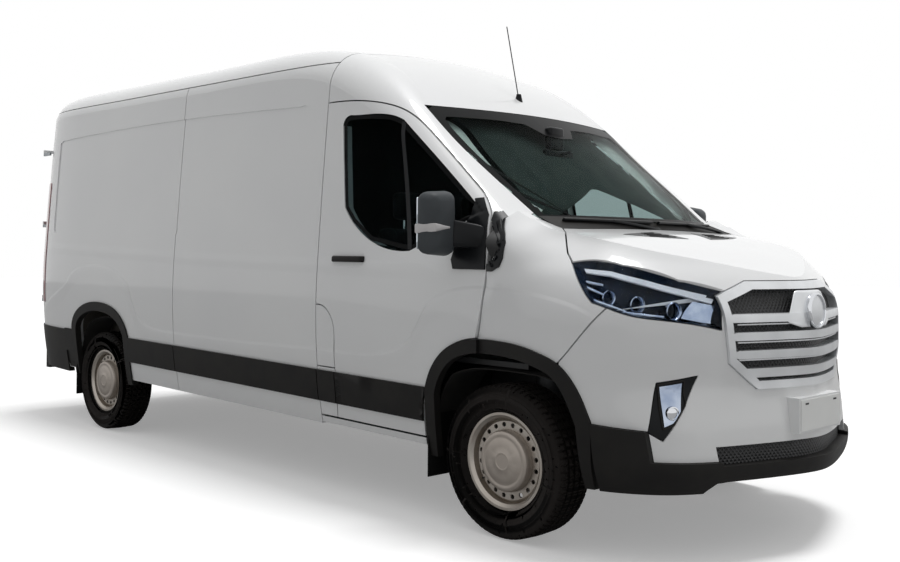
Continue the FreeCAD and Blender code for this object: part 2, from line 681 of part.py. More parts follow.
# Foot of the centre pillar, which the fuel flap stands in.
pillar_foot_shares = [door_rear_foot, [(0.0, 0.404), (0.0, 0.168)]]
pillar_foot = outer.common(side_prism(pillar_foot_shares, -half_gap)).cut(door_inner)
flap_low_share = 0.272
lower_foot = pillar_foot.common(slab(0.1, flap_low_share, seam_x, nose_x))
flap_region = slab(flap_low_share + gap / cell.roof_height, 0.5, seam_x, nose_x)
flap_shape = pillar_foot.common(flap_region).cut(body_tube(cell.skin_thickness))
flap_back = pillar_foot.common(inner_tube(cell.skin_thickness + cell.seat_gap))
lower_foot = lower_foot.fuse(flap_back.common(flap_region))

rear_side_right = skin("RearSideRight", largest(rear_side_cut))
mid_side_right = skin("MidSideRight", mid_side)
foot_right = skin("PillarFootRight", largest(lower_foot))
side_panels_right = group("SidePanelsRight", [rear_side_right, mid_side_right, foot_right])
fuel_flap = skin("FuelFlap", largest(flap_shape))

rear_side_left = mirrored("RearSideLeft", rear_side_right)
foot_left = skin("PillarFootLeft", largest(mirror(pillar_foot)))
side_panels_left = group("SidePanelsLeft", [rear_side_left, foot_left])
sliding_door = mirrored("SlidingDoor", mid_side_right)

# Roof over the load space.
roof_region = slab(ditch_share, 1.2, tail_x - far, seam_x - half_gap)
ditch = slab(ditch_share, ditch_share + gap / cell.roof_height, tail_x - far, seam_x)
ditch = ditch.cut(body_tube(cell.ditch_depth))
roof_shape = outer.common(roof_region).cut(roof_inner).cut(ditch)
roof_panel = skin("RoofPanel", largest(roof_shape))

# Cab roof, header and screen pillars.
screen_shares = [
    [(-0.716, 0.5865), (-0.761, 0.712), (-0.766, 0.8235)],
    [(-0.766, 0.8235), (-0.40, 0.8240), (0.0, 0.8245), (0.40, 0.8240), (0.766, 0.8235)],
    [(0.766, 0.8235), (0.761, 0.712), (0.716, 0.5865)],
    [(0.716, 0.5865), (-0.716, 0.5865)]]


def screen_prism(grow):
    x = along(0.15)
    tilt = cell.rake_share * along(0.44)
    points = [[Vector(x, w * cell.half_width, up(t) - tilt) for w, t in run]
              for run in screen_shares]
    return grown(outline(points), grow).extrude(Vector(along(0.66) - x, 0, 0))


cab_region_shares = [
    [(0.0, 1.2), (0.0, 0.40)], [(0.0, 0.40), (0.514, 0.5775)],
    [(0.514, 0.5775), (0.539, 0.5775)],
    [(0.539, 0.5775), (0.558, 0.602)], [(0.558, 0.602), (0.592, 0.587)],
    [(0.592, 0.587), (0.660, 0.587)], [(0.660, 0.587), (0.660, 1.2)]]
cab_region = side_prism(cab_region_shares, -half_gap)
cab_half = outer.common(cab_region).cut(pillar_inner).cut(door_hole)
cab_half = cab_half.cut(screen_prism(cell.screen_gap))
cab_half = largest(cab_half)
cab_shell = skin("CabShell", cab_half.fuse(mirror(cab_half)).removeSplitter())

screen_outer = body_tube(cell.screen_inset)
screen_inner = body_tube(cell.screen_inset + cell.screen_thickness)
windscreen = skin("Windscreen", largest(screen_outer.common(screen_prism(0)).cut(screen_inner)))

# Rear doors.
rear_shell = outer.common(tail_region).cut(block(
    tail_x + cell.door_thickness, seam_x, -wide_y, wide_y, 0, 2 * up(1)))
right_half = block(tail_x - far, seam_x, -wide_y, -cell.rear_door_gap / 2, 0, 2 * up(1))
rear_panel_right = skin("RearDoorPanel", largest(rear_shell.common(right_half)))

# Nose panels.
fender_shares = [
    [(0.797, 0.440), (0.790, 0.432), (0.770, 0.409), (0.741, 0.374), (0.712, 0.343)],
    [(0.712, 0.343), (0.66, 0.30)], [(0.66, 0.30), (0.508, 0.30)],
    [(0.508, 0.30), (0.508, 0.368)],
    [(0.508, 0.368), (0.525, 0.444), (0.530, 0.492), (0.514, 0.593)],
    [(0.514, 0.593), (0.514, 0.66)], [(0.514, 0.66), (0.850, 0.66)],
    [(0.850, 0.66), (0.850, 0.440)]]
lamp_front_shares = [
    [(0.707, 0.512), (0.736, 0.515), (0.781, 0.510), (0.863, 0.486), (0.921, 0.464)],
    [(0.921, 0.464), (0.924, 0.402)],
    [(0.924, 0.402), (0.864, 0.4195), (0.830, 0.425), (0.803, 0.434), (0.770, 0.445)],
    [(0.770, 0.445), (0.751, 0.465), (0.727, 0.493), (0.707, 0.512)]]
bonnet_plan_shares = [
    (0.630, 0.0), (0.632, 0.737), (0.660, 0.800), (0.690, 0.870), (0.711, 0.898), (0.740, 0.862),
    (0.790, 0.800), (0.868, 0.655), (0.921, 0.452), (0.9405, 0.395), (0.9465, 0.0)]


# Ahead of its corners the bonnet runs on to the grille surround, which ends it.
bonnet_nose_shares = bonnet_plan_shares[:9] + [(0.975, 0.445), (0.975, 0.0)]


def plan_prism(points, grow):
    """A standing prism from one half of an outline seen from above."""
    edge = [Vector(along(s), w * cell.half_width, 0) for s, w in points]
    other = [Vector(p.x, -p.y, p.z) for p in reversed(edge[1:-1])]
    face = Part.Face(Part.makePolygon(edge + other + edge[:1]))
    return grown(face, grow).extrude(Vector(0, 0, 2 * cell.roof_height))


grille_shares = [(0.340, 0.484), (0.452, 0.470), (0.532, 0.460), (0.500, 0.348),
                 (0.355, 0.303)]


def hexagon(points, grow):
    left = [(-w, t) for w, t in reversed(points)]
    loop = points + left
    runs = [[a, b] for a, b in zip(loop, loop[1:] + loop[:1])]
    return front_prism(runs, grow, 0.85)


bonnet_hole = plan_prism(bonnet_plan_shares, half_gap)
bonnet_front_hole = plan_prism(bonnet_nose_shares, half_gap)
bonnet_front_hole = bonnet_front_hole.common(slab(0.45, 0.8, along(0.8), nose_x + far))
bonnet_region = plan_prism(bonnet_nose_shares, -half_gap)
bonnet_region = bonnet_region.common(slab(0.44, 0.7, along(0.5), nose_x + far))
bonnet_region = bonnet_region.cut(hexagon(grille_shares, half_gap))
bonnet_top = nose_outer.common(bonnet_region).cut(nose_skin)
frame_region = plan_prism(bonnet_plan_shares, -cell.bonnet_frame_margin)
frame_region = frame_region.common(slab(0.44, 0.7, along(0.5), nose_x + far))
bonnet_frame = nose_skin.common(frame_region).cut(
    hidden_nose(cell.skin_thickness + cell.bonnet_frame_depth))
bonnet = skin("Bonnet", largest(bonnet_top).fuse(largest(bonnet_frame)).removeSplitter())

cowl_width_share = 0.74
cowl_front_share = 0.628
head_region = side_prism(lamp_front_shares, -half_gap / 2)
head_hole = side_prism(lamp_front_shares, half_gap / 2)
screen_hole = screen_prism(cell.screen_gap).cut(block(
    seam_x, along(0.60), -wide_y, wide_y, 0, up(0.60)))
fender_shape = nose_outer.common(side_prism(fender_shares, -half_gap)).cut(nose_inner)
fender_shape = fender_shape.cut(front_arch).cut(bonnet_hole).cut(head_hole)
fender_shape = fender_shape.cut(side_prism(cab_region_shares, half_gap))
cowl_y = cowl_width_share * cell.half_width
cowl_hole = block(seam_x, along(0.640), -cowl_y, wide_y, 0, 2 * up(1))
fender_right = skin("FenderRight", largest(fender_shape.cut(cowl_hole)))
fender_left = mirrored("FenderLeft", fender_right)
fenders = group("Fenders", [fender_right, fender_left])

lamp_block = nose_outer.common(head_region).cut(hidden_nose(cell.lamp_depth))
lamp_block = lamp_block.cut(bonnet_hole).cut(hexagon(grille_shares, half_gap))
head_right = skin("HeadlampRight", largest(lamp_block))
head_left = mirrored("HeadlampLeft", head_right)
headlamps = group("Headlamps", [head_right, head_left])

grille_front = nose_block(-cell.grille_proud)
grille_back = hidden_nose(cell.grille_depth - cell.grille_proud)
grille_outer = hexagon(grille_shares, 0)
grille_open = hexagon(grille_shares, -cell.grille_frame_width)
grille_frame = grille_front.common(grille_outer.cut(grille_open)).cut(grille_back)
slats = []
for k in range(4):
    middle = 0.331 + 0.0305 * k
    spread = 0.530 - 0.012 * (3 - k)
    tip = 0.050
    low = middle - 0.007
    high = middle + 0.007
    runs = [(-spread, middle), (-spread + tip, low), (spread - tip, low), (spread, middle),
            (spread - tip, high), (-spread + tip, high)]
    bar = front_prism([[a, b] for a, b in zip(runs, runs[1:] + runs[:1])], 0, 0.85)
    slats.append(grille_front.common(bar).common(grille_outer).cut(grille_back))
grille_shape = largest(grille_frame.fuse(slats).removeSplitter())
grille = skin("Grille", grille_shape)

mesh_front = hidden_nose(cell.mesh_inset)
mesh_back = hidden_nose(cell.mesh_inset + cell.mesh_thickness)
intake_runs = [[(-0.585, 0.213), (0.585, 0.213)], [(0.585, 0.213), (0.575, 0.182)],
               [(0.575, 0.182), (-0.575, 0.182)], [(-0.575, 0.182), (-0.585, 0.213)]]
grille_mesh = mesh_front.common(hexagon(grille_shares, 0)).cut(mesh_back)
grille_mesh = largest(grille_mesh)
intake_mesh = largest(mesh_front.common(front_prism(intake_runs, 0, 0.85)).cut(mesh_back))
meshes = skin("FrontMesh", Part.makeCompound([grille_mesh, intake_mesh]))

fog_shares = [[(0.791, 0.319), (0.635, 0.330)], [(0.635, 0.330), (0.699, 0.280)],
              [(0.699, 0.280), (0.789, 0.225)], [(0.789, 0.225), (0.832, 0.239)],
              [(0.832, 0.239), (0.791, 0.319)]]
fog_block = nose_outer.common(front_prism(fog_shares, -half_gap / 2, 0.75)).cut(
    hidden_nose(cell.fog_depth))
fog_right = skin("FogLampRight", largest(fog_block))
fog_left = mirrored("FogLampLeft", fog_right)
fog_lamps = group("FogLamps", [fog_right, fog_left])

lip_top_share = 0.180
corner_shares = [[(0.770, 0.05), (0.775, 0.246)], [(0.775, 0.246), (0.857, 0.239)],
                 [(0.857, 0.239), (0.866, 0.190)], [(0.866, 0.190), (1.3, 0.176)],
                 [(1.3, 0.176), (1.3, 0.05)]]
bumper_shares = [
    [(0.797, 0.440), (0.790, 0.432), (0.770, 0.409), (0.741, 0.374), (0.712, 0.343)],
    [(0.712, 0.343), (0.700, 0.05)], [(0.700, 0.05), (1.3, 0.05)], [(1.3, 0.05), (1.3, 0.52)],
    [(1.3, 0.52), (0.797, 0.52)]]
bumper_back = hidden_nose(cell.bumper_wall)
bumper_shape = nose_outer.common(side_prism(bumper_shares, -half_gap)).cut(bumper_back)
bumper_shape = bumper_shape.cut(front_arch).cut(head_hole).cut(bonnet_hole)
bumper_shape = bumper_shape.cut(bonnet_front_hole)
bumper_shape = bumper_shape.cut(side_prism(corner_shares, half_gap / 2))
bumper_shape = bumper_shape.cut(front_prism(fog_shares, half_gap / 2, 0.75))
bumper_shape = bumper_shape.cut(hexagon(grille_shares, half_gap / 2))
bumper_shape = bumper_shape.cut(front_prism(intake_runs, 0, 0.85))
bumper_half = largest(bumper_shape)
plate_x = nose_x - cell.plate_thickness - cell.seat_gap
holder = block(plate_x - cell.holder_depth, plate_x, -cell.holder_width / 2, cell.holder_width / 2,
               cell.plate_z - (cell.holder_height - cell.plate_height) / 2,
               cell.plate_z + (cell.holder_height + cell.plate_height) / 2).cut(nose_outer)
bumper_shape = bumper_half.fuse([mirror(bumper_half), largest(holder)]).removeSplitter()
bumper = skin("FrontBumper", bumper_shape)

lip_outer = nose_block(-cell.lip_proud)
lip_inner = hidden_nose(cell.lip_wall)
lip_shape = lip_outer.common(side_prism(corner_shares)).cut(lip_inner)
lip_shape = lip_shape.cut(front_arch).cut(front_prism(intake_runs, 0, 0.85))
lip_shape = lip_shape.cut(front_prism(fog_shares, half_gap / 2, 0.75))
lip_under_shares = [(0.628, 0.1375), (0.583, 0.1551), (-0.583, 0.1551), (-0.628, 0.1375),
                    (-0.628, 0.05), (0.628, 0.05)]
lip_under = [[a, b] for a, b in zip(lip_under_shares, lip_under_shares[1:] + lip_under_shares[:1])]
lip_shape = lip_shape.cut(front_prism(lip_under, 0, 0.75))
lip_half = largest(lip_shape)
lip = skin("BumperLip", lip_half.fuse(mirror(lip_half)).removeSplitter())

cowl_box = block(along(0.54), along(cowl_front_share), -cowl_y, cowl_y, 0, 2 * up(1))
cowl_shape = nose_block(cell.screen_inset).common(cowl_box)
cowl_shape = cowl_shape.cut(hidden_nose(cell.cowl_depth)).cut(screen_prism(cell.seat_gap))
cowl = skin("Cowl", largest(cowl_shape.cut(outer.common(slab(0.5, 1.2, seam_x, along(0.56))))))

# The wall behind the nose panels, which they are fixed to, and the radiator.
carrier_half = nose_inner.cut(hidden_nose(cell.fender_thickness + cell.carrier_wall))
carrier_half = carrier_half.common(block(
    along(0.52), nose_x, -wide_y, cell.seat_gap, up(0.19), up(0.60)))
bonnet_clear = plan_prism(bonnet_plan_shares, cell.frame_inside)
bonnet_clear = bonnet_clear.common(slab(0.40, 0.8, along(0.4), nose_x + far))
ring_clear = side_prism(full_door_shares, cell.frame_outside + cell.seat_gap)
for tool in (bonnet_clear, ring_clear, side_prism(cab_region_shares, gap),
             front_arch, head_region, hexagon(grille_shares, 0), cowl_hole,
             front_prism(intake_runs, 0, 0.85), front_prism(fog_shares, -half_gap / 2, 0.75),
             side_prism(corner_shares)):
    carrier_half = carrier_half.cut(tool)
carrier_half = largest(carrier_half)
radiator_y = cell.rail_y - cell.rail_width / 2 - cell.seat_gap
bonnet_seat = hidden_nose(cell.skin_thickness + cell.bonnet_frame_depth + cell.seat_gap)
radiator = block(cell.radiator_x, cell.radiator_x + cell.radiator_length, -radiator_y,
                 radiator_y, cell.front_rail_top - cell.rail_depth, up(1)).common(bonnet_seat)
carrier_shape = Part.makeCompound([carrier_half, mirror(carrier_half), radiator])
carrier = skin("FrontCarrier", carrier_shape)

plate = box("NumberPlate", (NOSE + " - {plate_thickness}", "mid", "{plate_z}"),
            "{plate_thickness}", "{plate_width}", "{plate_height}")

# Door apertures: a frame behind each front door, and the sill below it.
ring_outer = side_prism(full_door_shares, cell.frame_outside)
ring_opening = side_prism(door_shares, -cell.frame_inside)
ring_limit = block(seam_x + cell.seat_gap, nose_x, -wide_y, 0, 0, up(1))
ring = inner_tube(cell.door_thickness + cell.seat_gap).cut(
    inner_tube(cell.door_thickness + cell.frame_ring))
ring = ring.common(ring_outer).common(ring_limit).cut(ring_opening).cut(front_arch)
# Along the screen pillar the door swings back over the frame, so none stands behind it.
pillar_open = side_prism(door_shares, half_gap).common(slab(0.54, 0.9, along(0.205), nose_x))
ring = largest(ring.cut(pillar_open))
sill_shares = [[(0.002, 0.152), (0.002, 0.1655)], [(0.002, 0.1655), (0.351, 0.1655)],
               [(0.351, 0.1655), (0.351, 0.152)]]
sill = largest(outer.common(side_prism(sill_shares)).cut(
    inner_tube(cell.door_thickness + cell.seat_gap)))
frame_right = skin("DoorFrameRight", ring.fuse(sill).removeSplitter())
frame_left = mirrored("DoorFrameLeft", frame_right)
door_frames = group("DoorFrames", [frame_right, frame_left])

# Load floor with its wheel boxes and the bulkhead behind the seats.
floor_back = tail_x + cell.door_thickness + gap
floor_low = cell.floor_top - cell.floor_thickness
box_back = rear_axle_x - cell.wheel_box_length / 2
box_front = rear_axle_x + cell.wheel_box_length / 2
box_wall = cell.wheel_box_wall
floor_shape = wall_inner.common(block(floor_back, seam_x, -wide_y, wide_y, floor_low,
                                      cell.floor_top))
for side in (-1, 1):
    low, high = sorted((side * cell.wheel_box_inner, side * wide_y))
    hump = block(box_back, box_front, low, high, floor_low, cell.wheel_box_top)
    low, high = sorted((side * (cell.wheel_box_inner + box_wall), side * wide_y))
    hollow = block(box_back + box_wall, box_front - box_wall, low, high, 0,
                   cell.wheel_box_top - box_wall)
    floor_shape = floor_shape.fuse(wall_inner.common(hump)).cut(hollow)
bulkhead = wall_inner.common(block(
    cell.bulkhead_x, cell.bulkhead_x + cell.bulkhead_thickness, -wide_y, wide_y,
    cell.floor_top, 2 * up(1)))
load_floor = skin("LoadFloor", floor_shape.fuse(bulkhead).removeSplitter())

# Cab floor: boxes bound to the sheet.
CAB_WIDTH = "2 * {well_outer}"
WELL_LENGTH = "{firewall_x} + {firewall_thickness} - {cab_floor_front}"
SEAM = "({overall_length} / 2 - {cab_length})"
FLOOR_LOW = "({cab_floor_top} - {cab_floor_thickness})"
floor_pieces = [
    box("CabFloorPlate", (SEAM, "mid", FLOOR_LOW), "{cab_floor_front} - " + SEAM, CAB_WIDTH,
        "{cab_floor_thickness}"),
    box("CabRiser", (SEAM, "mid", FLOOR_LOW), "{riser_length}", CAB_WIDTH,
        "{floor_top} - " + FLOOR_LOW),
    box("FootFloor", ("{cab_floor_front}", "mid", FLOOR_LOW),
        "{toe_x} - {cab_floor_front} + {well_sheet}", "2 * {well_half_width}",
        "{cab_floor_thickness}"),
    box("ToeBoard", ("{toe_x}", "mid", "{cab_floor_top}"), "{well_sheet}",
        "2 * {well_half_width}", "{well_top} - {cab_floor_top}"),
    box("WellTop", ("{cab_floor_front}", "mid", "{well_top}"), WELL_LENGTH, CAB_WIDTH,
        "{well_sheet}"),
    box("Firewall", ("{firewall_x}", "mid", "{well_top}"), "{firewall_thickness}",
        "2 * {firewall_half_width}", "{firewall_top} - {well_top}")]
foot_space = box("FootSpace", ("{cab_floor_front}", "mid", "{cab_floor_top}"),
                 "{toe_x} - {cab_floor_front}", "2 * ({well_half_width} - {well_sheet})", "300")
for sign, word in (("", "Left"), ("-", "Right")):
    edge = "{well_half_width} - {well_sheet}" if word == "Left" else "-{well_half_width}"
    floor_pieces.append(box("WellSide" + word, ("{cab_floor_front}", edge, FLOOR_LOW),
                            "{toe_x} - {cab_floor_front}", "{well_sheet}",
                            "{well_top} - " + FLOOR_LOW))
    edge = "{well_half_width}" if word == "Left" else "-{well_outer}"
    floor_pieces.append(box("WellBack" + word, ("{cab_floor_front}", edge, FLOOR_LOW),
                            "{well_sheet}", "{well_outer} - {well_half_width}",
                            "{well_top} - " + FLOOR_LOW))
floor_pieces.append(box(
    "DriverPlinth", ("{seat_x} - {seat_length} / 2",
                     "-{seat_y} - {seat_width} / 2 + {plinth_inset}", "{cab_floor_top}"),
    "{seat_length}", "{seat_width} - 2 * {plinth_inset}",
    "{seat_base_top} - {cushion_thickness} - {cab_floor_top}"))
floor_pieces.append(box(
    "BenchPlinth", ("{seat_x} - {seat_length} / 2",
                    "{bench_y} - {bench_width} / 2 + {plinth_inset}", "{cab_floor_top}"),
    "{seat_length}", "{bench_width} - 2 * {plinth_inset}",
    "{seat_base_top} - {cushion_thickness} - {cab_floor_top}"))
cab_floor = cut("CabFloor", fuse("CabFloorWhole", floor_pieces), foot_space)
tidy_pieces = [foot_space]


def seat(name, y, width, places):
    """A cushion, a back and a head cushion for each place."""
    low = "{seat_base_top} - {cushion_thickness} + {seat_gap}"
    back = "{seat_x} - {seat_length} / 2"
    half = "(" + width + ") / 2"
    pieces = [
        box(name + "Cushion", (back, y + " - " + half, low), "{seat_length}", width,
            "{cushion_thickness}"),
        box(name + "Back", (back, y + " - " + half, "{seat_base_top}"), "{back_thickness}",
            width, "{back_height}")]
    for k, share in enumerate(places):
        middle = y + " + " + width + " * " + str(share)
        pieces.append(box(
            name + "Head%d" % k, (back, middle + " - {head_width} / 2",
                                  "{seat_base_top} + {back_height}"),
            "{head_thickness}", "{head_width}", "{head_height}"))
    return fuse(name, pieces)


driver_seat = seat("DriverSeat", "-{seat_y}", "{seat_width}", [0])
passenger_bench = seat("PassengerBench", "{bench_y}", "{bench_width}", [-0.25, 0.25])

# Dashboard and steering wheel.
dash_points = [(0, 0.30), (0, 1.0), (0.55, 1.06), (0.92, 0.95), (1.0, 0.60), (0.70, 0.05),
               (0.20, 0.0)]
dash_high = cell.dash_top - cell.dash_bottom
dash_edge = [Vector(cell.firewall_x - cell.seat_gap - a * cell.dash_depth,
                    -cell.dash_half_width, cell.dash_bottom + b * dash_high)
             for a, b in dash_points]
dash_face = Part.Face(Part.makePolygon(dash_edge + dash_edge[:1]))
dash_block = skin("DashBlock", dash_face.extrude(Vector(0, 2 * cell.dash_half_width, 0)))


def along_column(distance):
    return ("{steering_wheel_x} + (" + distance + ") * cos({column_tilt})", "-{seat_y}",
            "{steering_wheel_z} - (" + distance + ") * sin({column_tilt})")


COLUMN_TURN = (0, 90 + cell.column_tilt, 0)
column = primitive("Cylinder", "Column", along_column("{hub_disc_depth} / 2 + {seat_gap}"),
                   COLUMN_TURN, Radius="{column_radius}", Height="{column_length}")
dashboard = fuse("Dashboard", [dash_block, column])
grip_corners = [math.radians(45 * k + 22.5) for k in range(8)]
grip_edge = [Vector(cell.steering_wheel_radius + cell.steering_wheel_grip * math.cos(turn), 0,
                    cell.steering_wheel_grip * math.sin(turn)) for turn in grip_corners]
grip_face = Part.Face(Part.makePolygon(grip_edge + grip_edge[:1]))
grip = skin("SteeringGrip", grip_face.revolve(Vector(), Vector(0, 0, 1), 360))
grip.Placement = Placement(Vector(cell.steering_wheel_x, -cell.seat_y, cell.steering_wheel_z),
                           Rotation(*COLUMN_TURN))
hub = primitive("Cylinder", "SteeringHub", along_column("-{hub_disc_depth} / 2"), COLUMN_TURN,
                Radius="{hub_disc_radius}", Height="{hub_disc_depth}")
spokes = []
for k in range(3):
    spoke = doc.addObject("Part::Box", "SteeringSpoke%d" % k)
    bind(spoke, Length="{steering_wheel_radius}", Width="{spoke_width}",
         Height="{spoke_thickness}")
    turn = Rotation(*COLUMN_TURN).multiply(Rotation(Vector(0, 0, 1), 180 * k / 2))
    shift = turn.multVec(Vector(0, -cell.spoke_width / 2, -cell.spoke_thickness / 2))
    spoke.Placement = Placement(Vector(cell.steering_wheel_x, -cell.seat_y,
                                       cell.steering_wheel_z) + shift, turn)
    spokes.append(spoke)
steering_wheel = fuse("SteeringWheel", [grip, hub] + spokes)

# Chassis.
REAR_END = TAIL + " - {rear_bumper_proud} + {rear_bumper_depth} + {seat_gap}"
frame_pieces = []
for sign, word in (("1", "Left"), ("-1", "Right")):
    rail_pieces = []
    rail_pieces.append(box(
        "Rail" + word, (REAR_END, sign + " * {rail_y} - {rail_width} / 2",
                        "{rail_top} - {rail_depth}"),
        SEAM + " - {seat_gap} - (" + REAR_END + ")", "{rail_width}", "{rail_depth}"))
    inner = "{engine_width} / 2 + {seat_gap}"
    edge = inner if word == "Left" else "-{rail_y}"
    rail_pieces.append(box(
        "FrontRail" + word, (SEAM + " - {rail_width}", sign + " * {rail_y} - {rail_width} / 2",
                             "{front_rail_top} - {rail_depth}"),
        "{rail_front} - " + SEAM + " + {rail_width}", "{rail_width}", "{rail_depth}"))
    rail_pieces.append(box(
        "EngineMount" + word, ("{engine_x} + {engine_length} / 2", edge,
                               "{front_rail_top} - {mount_height}"),
        "{mount_length}", "{rail_y} - (" + inner + ")", "{mount_height}"))
    frame_pieces.append(fuse("FrameRail" + word, rail_pieces))
BEARER_START = TAIL + " + {rear_bumper_depth} + {floor_length} * "
for k, share in enumerate((0.02, 0.2, 0.4, 0.6, 0.8, 0.97)):
    frame_pieces.append(box(
        "Bearer%d" % k, (BEARER_START + str(share), "mid", "{rail_top} + {seat_gap}"),
        "{bearer_width}", "2 * {bearer_half_width}",
        "{floor_top} - {floor_thickness} - {rail_top} - {seat_gap}"))
chassis_frame = group("ChassisFrame", frame_pieces)

engine = fuse("Engine", [
    box("EngineBlock", ("{engine_x}", "mid", "{engine_bottom}"), "{engine_length}",
        "{engine_width}", "{engine_height}"),
    rod("Gearbox", ("{engine_x} - {gearbox_length}", "0", "{gearbox_z}"), "{gearbox_radius}",
        "{gearbox_length}", "X")])
fuel_tank = box("FuelTank", ("{tank_x} - {tank_length} / 2", "-{tank_y} - {tank_width} / 2",
                             "{rail_top} - {seat_gap} - {tank_height}"),
                "{tank_length}", "{tank_width}", "{tank_height}")
exhaust = fuse("Exhaust", [
    rod("Pipe", ("{silencer_x}", "{pipe_y}", "{pipe_z}"), "{pipe_radius}",
        "{engine_x} - {silencer_x} - {gearbox_length}", "X"),
    rod("Silencer", ("{silencer_x} - {silencer_length} / 2", "{pipe_y}", "{pipe_z}"),
        "{silencer_radius}", "{silencer_length}", "X"),
    box("PipeHanger", ("{silencer_x}", "{pipe_y} - {hanger_width} / 2", "{pipe_z}"),
        "{hanger_width}", "{hanger_width}", "{rail_top} - {seat_gap} - {pipe_z}")])

# Rear axle, its shaft and springs.
wheel_offset = "{brake_inner}"
AXLE_HALF = "({track_rear} / 2 - {brake_inner} - {seat_gap})"
axle_pieces = [
    rod("AxleTube", (REAR_AXLE, "-" + AXLE_HALF, "{tyre_radius}"), "{axle_tube_radius}",
        "2 * " + AXLE_HALF, "Y"),
    rod("Differential", (REAR_AXLE, "-{diff_width} / 2", "{tyre_radius}"), "{diff_radius}",
        "{diff_width}", "Y"),
    rod("PropShaft", (REAR_AXLE, "0", "{shaft_z}"), "{shaft_radius}",
        "{engine_x} - {gearbox_length} - {seat_gap} - " + REAR_AXLE, "X")]
for sign, word in (("1", "Left"), ("-1", "Right")):
    side = sign + " * {spring_y} - {leaf_width} / 2"
    top = "({tyre_radius} + {axle_tube_radius})"
    axle_pieces.append(box(
        "Leaf" + word, (REAR_AXLE + " - {leaf_rear}", side, top),
        "{leaf_front} + {leaf_rear}", "{leaf_width}", "{leaf_thickness}"))
    axle_pieces.append(box(
        "SpringSeat" + word, (REAR_AXLE + " - {leaf_width}", side, "{tyre_radius}"),
        "2 * {leaf_width}", "{leaf_width}", "{axle_tube_radius}"))
    for end, name in (("-{leaf_rear}", "Rear"), ("{leaf_front} - {leaf_eye}", "Front")):
        axle_pieces.append(box(
            "Shackle" + name + word, (REAR_AXLE + " + (" + end + ")", side, top),
            "{leaf_eye}", "{leaf_width}", "{floor_top} - {floor_thickness} - {seat_gap} - " + top))
rear_axle = fuse("RearAxle", axle_pieces)

# Front suspension: cross member, arms and struts. It is drawn at rest and doesn't move.
arm_pieces = [
    box("CrossMember", (FRONT_AXLE + " - {cross_member_width} / 2", "mid",
                        "{cross_member_bottom}"),
        "{cross_member_width}", "2 * {rail_y}", "{cross_member_height}")]
for sign, word in (("1", "Left"), ("-1", "Right")):
    arm_pieces.append(box(
        "CrossPost" + word, (FRONT_AXLE + " - {cross_member_width} / 2",
                             sign + " * {rail_y} - {rail_width} / 2",
                             "{cross_member_bottom}"),
        "{cross_member_width}", "{rail_width}",
        "{front_rail_top} - {rail_depth} - {cross_member_bottom} - {seat_gap}"))
    edge = "{arm_inner_y}" if word == "Left" else "-{kingpin_y}"
    arm_pieces.append(box(
        "Arm" + word, (FRONT_AXLE + " - {arm_width} / 2", edge, "{arm_bottom}"),
        "{arm_width}", "{kingpin_y} - {arm_inner_y}", "{arm_thickness}"))
    edge = "{arm_inner_y}" if word == "Left" else "-{strut_y}"
    arm_pieces.append(box(
        "ArmRoot" + word, (FRONT_AXLE + " - {arm_spread} / 2", edge, "{arm_bottom}"),
        "{arm_spread}", "{strut_y} - {arm_inner_y}", "{arm_thickness}"))
    arm_pieces.append(rod(
        "Ball" + word, (FRONT_AXLE, sign + " * {kingpin_y}", "{arm_bottom}"), "{ball_radius}",
        "{arm_thickness}"))
    arm_pieces.append(rod(
        "Strut" + word, (FRONT_AXLE, sign + " * {strut_y}", "{arm_bottom}"), "{strut_radius}",
        "{well_top} - {seat_gap} - {arm_bottom}"))
    arm_pieces.append(rod(
        "Spring" + word, (FRONT_AXLE, sign + " * {strut_y}", "{spring_low}"),
        "{spring_radius}", "{spring_length}"))
front_suspension = fuse("FrontSuspension", arm_pieces)


def knuckle(word):
    """The upright that a front wheel turns on, about its upright kingpin."""
    left = word == "Left"
    low = "{arm_bottom} + {arm_thickness} + {seat_gap}"
    edge = "{upright_inner}" if left else "-{upright_inner} - {upright_width}"
    body = box("Upright" + word, (FRONT_AXLE + " - {upright_span} / 2", edge,
                                  low + " + {ball_block}"),
               "{upright_span}", "{upright_width}",
               "{upright_high} - (" + low + " + {ball_block})")
    reach = "{kingpin_y} + {ball_radius} - {upright_inner}"
    edge = "{upright_inner}" if left else "-{kingpin_y} - {ball_radius}"
    foot = box("UprightFoot" + word, (FRONT_AXLE + " - {ball_radius}", edge, low),
               "2 * {ball_radius}", reach, "{ball_block}")
    face = "({track_front} / 2 - {brake_inner} - {seat_gap})"
    edge = "{upright_inner}" if left else "-" + face
    carrier = rod("HubCarrier" + word, (FRONT_AXLE, edge, "{tyre_radius}"),
                  "{hub_carrier_radius}", face + " - {upright_inner}", "Y")
    return fuse("Knuckle" + word, [body, foot, carrier])


knuckles = {word: knuckle(word) for word in ("Left", "Right")}


# Wheels. A section is drawn in the XY plane and turned about the wheel's axle, Y.

def origin_feature(body, role):
    return [f for f in body.Origin.OriginFeatures if f.Role == role][0]


def sketch_on(body, name, role):
    sketch = body.newObject("Sketcher::SketchObject", name)
    sketch.AttachmentSupport = [(origin_feature(body, role), "")]
    sketch.MapMode = "FlatFace"
    return sketch


